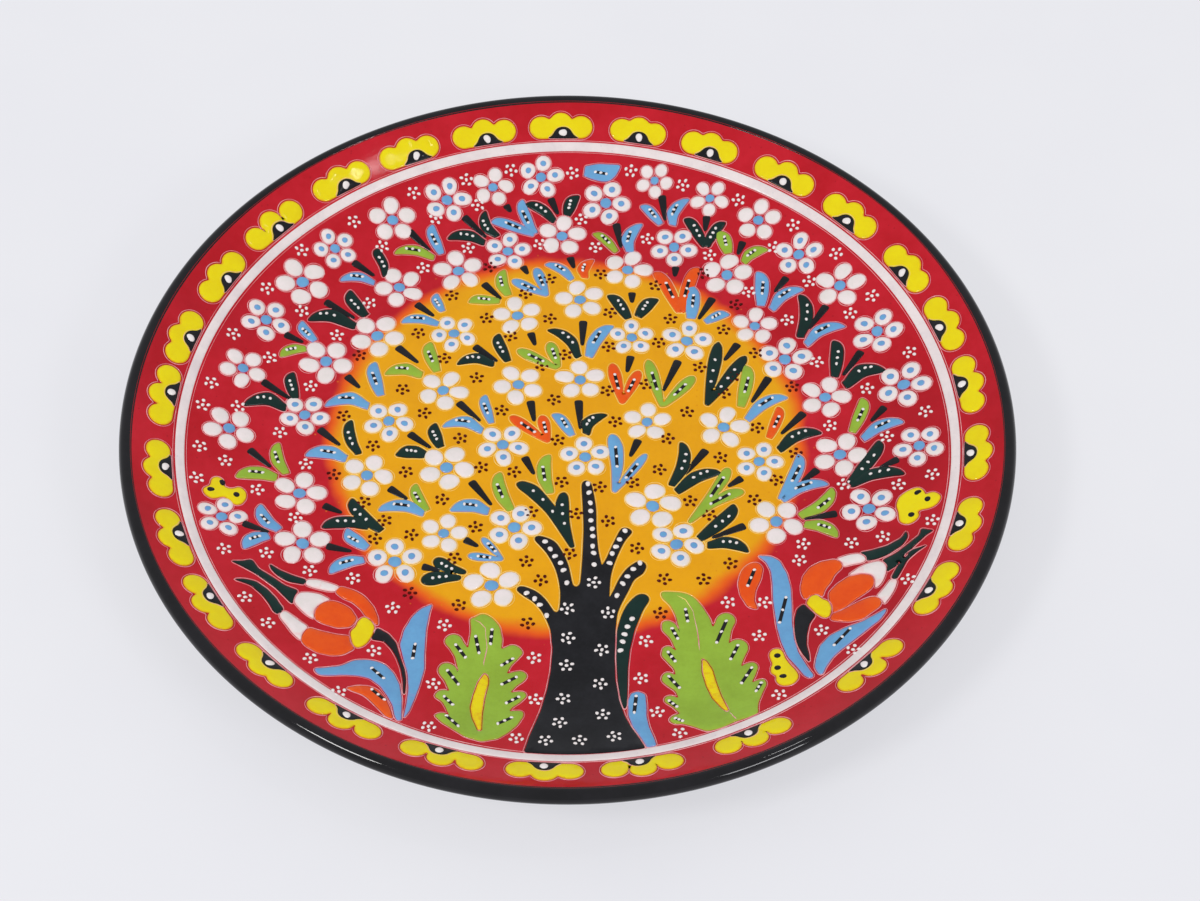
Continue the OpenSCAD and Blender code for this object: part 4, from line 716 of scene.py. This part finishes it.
FINISH = {
    "clay": glazed("Bare clay", linear(202, 150, 112), linear(178, 122, 84), 140.0, 1.0, fleck=linear(120, 80, 60),
                   ripple=1.6, ripple_scale=260.0, smooth=0.62, dull=0.85),
    "back": glazed("Dark back glaze", linear(30, 8, 12), linear(52, 14, 20), 24.0, 1.0, fleck=linear(96, 50, 46),
                   ripple=1.5, gloss=0.16),
    "black": glazed("Black lip glaze", linear(10, 9, 11), linear(24, 22, 26), 60.0, 0.8, ripple=1.0, ripple_scale=70.0,
                    smooth=0.03, dull=0.07, gloss=0.3),
    "red": glazed("Red ground", None, None, colour=red_ground, fleck=linear(140, 8, 20), fleck_cover=0.5),
    "sun": glazed("Sun ground", None, None, colour=sun_ground, fleck=linear(214, 128, 0), fleck_cover=0.5),
    "ring": glazed("White ring", linear(231, 219, 216), linear(212, 199, 199), 90.0, 0.8,
                   fleck=linear(196, 190, 192)),
    "petal": glazed("White enamel", linear(233, 221, 219), linear(217, 211, 204), 150.0, 0.8, petal_edge, 0.8, 0.9,
                    ripple=0.8, ripple_scale=160.0),
    "pearl": glazed("White pearls", linear(236, 229, 226), linear(222, 214, 211), 200.0, 0.6, ripple=0.5),
    "yellow": glazed("Yellow enamel", linear(230, 213, 3), linear(224, 200, 2), 90.0, 0.9, linear(214, 150, 20),
                     0.7, 0.8),
    "blue": glazed("Sky blue enamel", linear(105, 164, 207), linear(97, 147, 192), 110.0, 0.9,
                   linear(150, 140, 196), 0.55, 0.75),
    "dark": glazed("Bottle green enamel", linear(6, 34, 30), linear(12, 44, 38), 110.0, 0.9, linear(16, 26, 24),
                   0.5, 0.6),
    "green": glazed("Leaf green enamel", linear(146, 180, 57), linear(134, 163, 48), 90.0, 0.9,
                    linear(170, 160, 60), 0.6, 0.7),
    "orange": glazed("Orange enamel", linear(229, 85, 9), linear(219, 68, 8), 80.0, 0.9, linear(228, 110, 50),
                     0.6, 0.6),
    "ink": glazed("Black enamel", linear(14, 14, 17), linear(30, 30, 34), 90.0, 0.9, linear(20, 12, 12), 0.4, 0.6),
    "maroon": glazed("Maroon enamel", linear(70, 4, 0), linear(96, 12, 2), 220.0, 0.8, ripple=0.5, gloss=0.12),
    "line": glazed("Contour slip", None, None, colour=line_colour, ripple=0.4),
}

# ---- Turned body and ground glazes ----
LIP_TOP, LIP_BACK = LIP_TURN + math.pi / 2, LIP_TURN - math.pi / 2
lip_mid_r = wall_line([LIP_TURN], LIP_R)[0][0]
band_edge = math.acos((BAND_IN - lip_mid_r) / LIP_R)
foot_turn = math.asin((FOOT_OUT - FLOOR_R) / (ARC_R + CLAY_T))
wall_turns = LIP_TURN * eased(40)
outer_corner = (FOOT_OUT + FOOT_OUTER_R, FOOT_OUTER_TOP)
inner_corner = (FOOT_IN - FOOT_INNER_R, FOOT_H - FOOT_INNER_R)
clay_section = np.vstack([
    [[0, FLOOR_Z]], np.stack([FLOOR_R * np.linspace(0.1, 1, 10), np.full(10, FLOOR_Z)], 1),
    wall_line(wall_turns[1:], 0), lip_line(np.linspace(LIP_TOP, LIP_BACK, 20)[1:-1], LIP_R),
    wall_line(np.linspace(LIP_TURN, foot_turn + 0.03, 30), CLAY_T), corner(outer_corner, FOOT_OUTER_R, 100, 180),
    corner((FOOT_OUT - FOOT_EDGE_R, FOOT_EDGE_R), FOOT_EDGE_R, 0, -90),
    corner((FOOT_IN + FOOT_EDGE_R, FOOT_EDGE_R), FOOT_EDGE_R, -90, -180),
    corner(inner_corner, FOOT_INNER_R, 0, 90),
    np.stack([FOOT_IN * np.linspace(0.9, 0.1, 8), np.full(8, FOOT_H)], 1), [[0, FOOT_H]]])
turned("clay_body", clay_section, FINISH["clay"], ["clay_body"], open_rows=True)

turn = 2 * np.pi * np.arange(TURNS) / TURNS


def section_coat(line, thick):
    """Closes a coat under an open section line: the same line, thick further in along its own normal, backwards."""
    along = np.gradient(line, axis=-2)
    along /= np.linalg.norm(along, axis=-1)[..., None]
    under = line + thick * np.stack([along[..., 1], -along[..., 0]], -1)
    return np.concatenate([line, under[..., ::-1, :]], -2)


band_back_turn = LIP_TURN - BAND_BACK / (ARC_R + CLAY_T)
start = math.asin((BAND_IN - BAND_RUN - FLOOR_R) / ARC_R) + wander(turn, 0.0011, 3)
finish = band_back_turn + wander(turn, 0.004, 4)
face_rows = start[:, None] + (LIP_TURN - start)[:, None] * eased(8)[:-1]
face_band = wall_line(face_rows, -GLAZE_T * np.array([0.8, 1.05, 1.2, 1.25, 1.2, 1.1, 1.02]))
lip_rows = np.broadcast_to(np.linspace(LIP_TOP, LIP_BACK, 36), (TURNS, 36))
back_rows = LIP_TURN + (finish - LIP_TURN)[:, None] * eased(26)[1:]
rim_back = wall_line(back_rows, CLAY_T + GLAZE_T * (0.15 + 0.83 * np.minimum(1, np.linspace(4, 0, 25))))
rim_lip = lip_line(lip_rows, np.full(lip_rows.shape, LIP_R + 0.98 * GLAZE_T))
turned("rim_glaze", section_coat(np.concatenate([face_band, rim_lip, rim_back], 1), 0.26 * MM),
       FINISH["black"], ["rim_glaze"])
ring_turn = math.asin((RING_OUT - 0.4 * MM - FLOOR_R) / ARC_R)
border = np.vstack([wall_line(ring_turn + (LIP_TURN - ring_turn) * np.linspace(0, 1, 34), -GLAZE_T),
                    lip_line(np.linspace(LIP_TOP, band_edge - 0.09, 8)[1:], LIP_R + 0.96 * GLAZE_T)])
turned("border_ground", section_coat(border, 0.25 * MM), FINISH["red"], ["border_ground"])

back_wall = wall_line(np.linspace(band_back_turn + 0.02, foot_turn + 0.03, 30), CLAY_T + 0.9 * GLAZE_T)
low_edge = (1.3 * MM + wander(turn, 0.25 * MM, 5))[:, None]
side = np.stack([np.full((TURNS, 5), FOOT_OUT + FOOT_COAT),
                 FOOT_OUTER_TOP + (low_edge - FOOT_OUTER_TOP) * eased(5)], -1)
outer_line = np.vstack([back_wall, corner(outer_corner, FOOT_OUTER_R - FOOT_COAT, 100, 172)])
outer_coat = np.concatenate([np.broadcast_to(outer_line, (TURNS, 36, 2)), side], 1)
turned("back_glaze", section_coat(outer_coat, 0.2 * MM), FINISH["back"], ["back_glaze"])
inner_side = np.stack([np.full((TURNS, 5), FOOT_IN - FOOT_COAT),
                       low_edge + (FOOT_H - FOOT_INNER_R - low_edge) * eased(5)], -1)
recess = np.vstack([corner(inner_corner, FOOT_INNER_R - FOOT_COAT, 8, 90),
                    np.stack([FOOT_IN * np.linspace(0.95, 0.0, 14), np.full(14, FOOT_H - FOOT_COAT)], 1)])
inner_coat = np.concatenate([inner_side, np.broadcast_to(recess, (TURNS, 20, 2))], 1)
turned("recess_glaze", section_coat(inner_coat, 0.2 * MM), FINISH["back"], [], open_rows=True)


def laid_ring(name, inner, outer, base, top, material, stands_for, rows=40, dome=None, poles=False):
    """A coat between two plan curves: row i lies a share of the way from the inner to the outer curve, and the
    same rows return underneath."""
    share = eased(rows)
    plan = inner + share[:, None, None] * (outer - inner)
    lift = np.full(rows, top) if dome is None else base + (top - base) * (1 - np.abs(2 * share - 1) ** dome) ** 0.5
    under = np.linspace(rows - 1, 0, 6).astype(int)
    plan = np.concatenate([plan, plan[under]])
    lift = np.r_[lift, np.full(6, base)][:, None]
    points = on_dish(plan, np.broadcast_to(lift, plan.shape[:2]))
    faces = grid_faces(len(points), TURNS, closed_rows=not poles)
    piece(name, points, faces, material, stands_for)


round_plan = np.stack([np.cos(turn), np.sin(turn)], 1)
laid_ring("well_ground", SUN_MID + (SUN_R + SUN_HOLE) * round_plan, (RING_IN + 0.4 * MM) * round_plan,
          0.05 * MM, GLAZE_T, FINISH["red"], ["well_ground"], rows=50)
laid_ring("sun_ground", SUN_MID + 0 * round_plan, SUN_MID + (SUN_R + SUN_LAP) * round_plan, 0.05 * MM,
          GLAZE_T + 0.01 * MM, FINISH["sun"], ["sun_ground"], rows=60, poles=True)
laid_ring("ring_band", (RING_IN + wander(turn, 0.1 * MM, 8))[:, None] * round_plan,
          (RING_OUT + wander(turn, 0.1 * MM, 9))[:, None] * round_plan, 0.2 * MM, 0.56 * MM,
          FINISH["ring"], ["ring_band"], rows=14, dome=4)

# ---- Border flowers ----
flowers = enamel("border_flowers", FINISH["yellow"], edge=1.0 * MM, step=0.8 * MM, spacing=2 * MM)
hearts = enamel("flower_hearts", FINISH["ink"], base=MARK_BASE, height=MARK_H, edge=0.5 * MM,
                step=0.7 * MM)
contours("heart_lines", hearts, gap=0.16 * MM, half_w=0.14 * MM, height=0.2 * MM, material=FINISH["line"],
         base=MARK_BASE)
ring_lines = [line_net(even_steps(r * round_plan, 0.9 * MM), 0.15 * MM, 0.2 * MM, 90 + k)
              for k, r in enumerate((RING_IN - 0.5 * MM, RING_OUT + 0.5 * MM))]
contours("border_lines", flowers, gap=0.45 * MM, half_w=0.15 * MM, height=LINE_H, material=FINISH["line"],
         extra=ring_lines)

# ---- Blossoms ----
petal_mid, petal_r = round_spots("blossom_petals")
centre_mid, centre_r = round_spots("blossom_centres")
to_centre = petal_mid[:, None] - centre_mid
nearest = np.linalg.norm(to_centre, axis=2).argmin(1)
away = to_centre[np.arange(len(petal_mid)), nearest]
petal_way = np.arctan2(away[:, 1], away[:, 0])
drops("blossom_petals", petal_mid, 1.04 * petal_r, 14, COAT_BASE, DROP_H, FINISH["petal"],
      ["blossom_petals"], stretch=0.05, stretch_way=petal_way, egg=0.05, uneven=0.12, seed=11)
drops("blossom_centres", centre_mid, centre_r, 14, COAT_BASE, DROP_H + 0.04 * MM, FINISH["blue"],
      ["blossom_centres"], seed=12)
fine_turn = 2 * np.pi * np.arange(20) / 20
halo = 1.04 + 0.05 * np.cos(2 * (fine_turn - petal_way[:, None])) + 0.05 * np.cos(fine_turn - petal_way[:, None])
fine_round = np.stack([np.cos(fine_turn), np.sin(fine_turn)], -1)
halos = petal_mid[:, None] + (halo * petal_r[:, None])[..., None] * fine_round
contours("blossom_lines", list(halos), gap=0.24 * MM, half_w=0.17 * MM, height=0.2 * MM, material=FINISH["line"],
         step=1.4 * MM)
spot_mid, spot_r = round_spots("petal_spots")
drops("petal_spots", spot_mid, spot_r, 12, MARK_BASE, MARK_H, FINISH["blue"], ["petal_spots"],
      uneven=0.12, seed=13)
enamel("blossom_stems", FINISH["ink"], height=STEM_H, edge=0.5 * MM, step=0.8 * MM)

# ---- Leaves ----
stem_mid = np.array([solid[0].mean(0) for solid in outlines("blossom_stems")])
leaf_loops = []
for node, slot, finish_name in (
        ("dark_leaves", "dark_green_enamel", "dark"), ("blue_leaves", "blue_enamel", "blue"),
        ("green_leaves", "green_enamel", "green"), ("orange_leaves", "orange_enamel", "orange")):
    leaf_loops += enamel(node, FINISH[finish_name], stems=stem_mid)
contours("leaf_lines", leaf_loops, gap=0.3 * MM, half_w=0.17 * MM, height=LINE_H, material=FINISH["line"])
enamel("leaf_dashes", FINISH["ink"], base=MARK_BASE, height=MARK_H, edge=0.35 * MM, step=0.6 * MM)

# ---- Trunk, tulips, saz leaves and butterflies ----
field_loops = []
for node, slot, finish_name in (
        ("tree_trunk", "black_enamel", "ink"), ("trunk_side_leaf", "dark_green_enamel", "dark"),
        ("trunk_foot_leaf", "blue_enamel", "blue"), ("tulip_tips", "dark_green_enamel", "dark"),
        ("tulip_whites", "white_enamel", "petal"), ("tulip_flames", "orange_enamel", "orange"),
        ("tulip_cups", "yellow_enamel", "yellow"), ("tulip_stems", "black_enamel", "ink"),
        ("tulip_leaves", "blue_enamel", "blue"), ("hook_leaves", "orange_enamel", "orange"),
        ("saz_leaves", "green_enamel", "green"), ("saz_cores", "yellow_enamel", "yellow"),
        ("butterflies", "yellow_enamel", "yellow")):
    field_loops += enamel(node, FINISH[finish_name], height=FIELD_H, edge=0.7 * MM, step=0.7 * MM,
                          spacing=1.8 * MM)
# Lines drawn on top of the enamel, as plan points
RIBS_MM = [
    [(-30.7, -71.3), (-27.4, -73.1), (-25.5, -75.4), (-24.8, -83), (-25.7, -89.5), (-25.2, -92.9)],
    [(34.5, -60), (39.5, -63), (41.8, -67.6), (43, -74.5), (43.6, -81.3), (43.9, -85.8)],
    [(52.7, -110.9), (53.6, -112.8), (55, -114.9)]]
ribs = [line_net(even_steps(np.array(rib) * MM, 0.5 * MM, closed=False), 0.28 * MM, 0.32 * MM, 60 + k,
                 closed=False, base=FIELD_TOP) for k, rib in enumerate(RIBS_MM)]
contours("field_lines", field_loops, gap=0.3 * MM, half_w=0.18 * MM, height=LINE_H, material=FINISH["line"],
         extra=ribs)
enamel("saz_dashes", FINISH["ink"], base=MARK_BASE, height=MARK_H, edge=0.35 * MM, step=0.6 * MM)

# ---- Pearls and seeds ----
for node, slot, finish_name, base, height, spokes in (
        ("flower_pearls", "pearl_white", "pearl", PEARL_BASE, PEARL_H, 16),
        ("trunk_pearls", "pearl_white", "pearl", FIELD_TOP, SEED_H, 10),
        ("branch_pearls", "pearl_white", "pearl", FIELD_TOP, PEARL_H, 12),
        ("leaf_pearls", "pearl_white", "pearl", PEARL_BASE, SMALL_PEARL_H, 10),
        ("saz_pearls", "pearl_white", "pearl", PEARL_BASE, SMALL_PEARL_H, 10),
        ("white_seeds", "pearl_white", "pearl", COAT_BASE, SEED_H, 10),
        ("maroon_seeds", "maroon_enamel", "maroon", COAT_BASE, SEED_H, 10),
        ("butterfly_spots", "black_enamel", "ink", MARK_BASE, MARK_H, 12)):
    mid, radius = round_spots(node)
    drops(node, mid, 1.08 * radius, spokes, base, height, FINISH[finish_name], [node], bulge=2.4, uneven=0.2,
          seed=20 + len(node))

# ---- Floor, light and camera ----
floor = bpy.data.objects.new("floor", bpy.data.meshes.new("floor"))
half = 12.0
floor.data.from_pydata([(-half, -half, 0), (half, -half, 0), (half, half, 0), (-half, half, 0)], [], [(0, 1, 2, 3)])
bpy.context.scene.collection.objects.link(floor)
paper = bpy.data.materials.new("Lit white table")
paper.use_nodes = True
paper_tree = paper.node_tree
paper_inputs = paper_tree.nodes["Principled BSDF"].inputs
for socket, full, thin in (("Base Color", linear(128, 128, 130), linear(125, 125, 128)),
                           ("Emission Color", linear(236, 236, 240), linear(234, 234, 239))):
    tone = use(paper_tree, PIGMENT, Full=full, Thin=thin, Stroke_scale=3.0, Unevenness=1.0)["Colour"]
    paper_tree.links.new(tone, paper_inputs[socket])
paper_inputs["Roughness"].default_value = 0.75
paper_inputs["Specular IOR Level"].default_value = 0.2
paper_inputs["Emission Strength"].default_value = 0.72
floor.data.materials.append(paper)


def softbox(name, place, aim, width, height, power, tint):
    """A rectangular soft light at a place, turned to its aim."""
    light = bpy.data.lights.new(name, "AREA")
    light.shape, light.size, light.size_y, light.energy, light.color = "RECTANGLE", width, height, power, tint
    lamp = bpy.data.objects.new(name, light)
    back = np.array(place, float) - np.array(aim, float)
    back /= np.linalg.norm(back)
    across = np.cross([0, 0, 1], back)
    across /= np.linalg.norm(across)
    up = np.cross(back, across)
    turned_to = np.eye(4)
    turned_to[:3, :3] = np.stack([across, up, back], 1)
    turned_to[:3, 3] = place
    lamp.matrix_world = Matrix(turned_to.tolist())
    bpy.context.scene.collection.objects.link(lamp)


softbox("key", (-1.43, -1.05, 1.90), (0, 0, 0), width=0.6, height=0.4, power=24, tint=(1.0, 0.99, 0.98))
softbox("fill", (1.5, -1.6, 1.5), (0, 0, 0), width=0.7, height=0.4, power=14, tint=(0.97, 0.98, 1.0))
softbox("lamp", (0.70, 0.11, 2.08), (-0.073, 0.116, 0.024), width=0.13, height=0.13, power=1.2, tint=(1.0, 1.0, 1.0))
world = bpy.context.scene.world or bpy.data.worlds.new("studio")
bpy.context.scene.world = world
world.use_nodes = True
sky = world.node_tree.nodes["Background"].inputs
sky["Color"].default_value = (0.93, 0.95, 1.0, 1)
sky["Strength"].default_value = 0.7
bpy.context.scene.view_settings.view_transform = "Standard"

DISTANCE = 1.0
ASIDE, BELOW = 0.01078, 0.0014  # how far the camera stands right of and below the line to the dish's middle
camera = bpy.data.objects.new("camera", bpy.data.cameras.new("camera"))
camera.data.sensor_width, camera.data.lens = 36.0, 88.2555
camera.data.clip_start, camera.data.clip_end = 0.01, 60
pitch, roll = math.radians(52.18), math.radians(0.78)
forward = np.array([0, math.cos(pitch), -math.sin(pitch)])
level, upward = np.array([1.0, 0, 0]), np.array([0, math.sin(pitch), math.cos(pitch)])
right = math.cos(roll) * level + math.sin(roll) * upward
top_way = -math.sin(roll) * level + math.cos(roll) * upward
stand = -forward * DISTANCE + ASIDE * right - BELOW * top_way + np.array([0, 0, FLOOR_Z + GLAZE_T])
seen_from = np.eye(4)
seen_from[:3, :3] = np.stack([right, top_way, -forward], 1)
seen_from[:3, 3] = stand
camera.matrix_world = Matrix(seen_from.tolist())
bpy.context.scene.collection.objects.link(camera)
bpy.context.scene.camera = camera
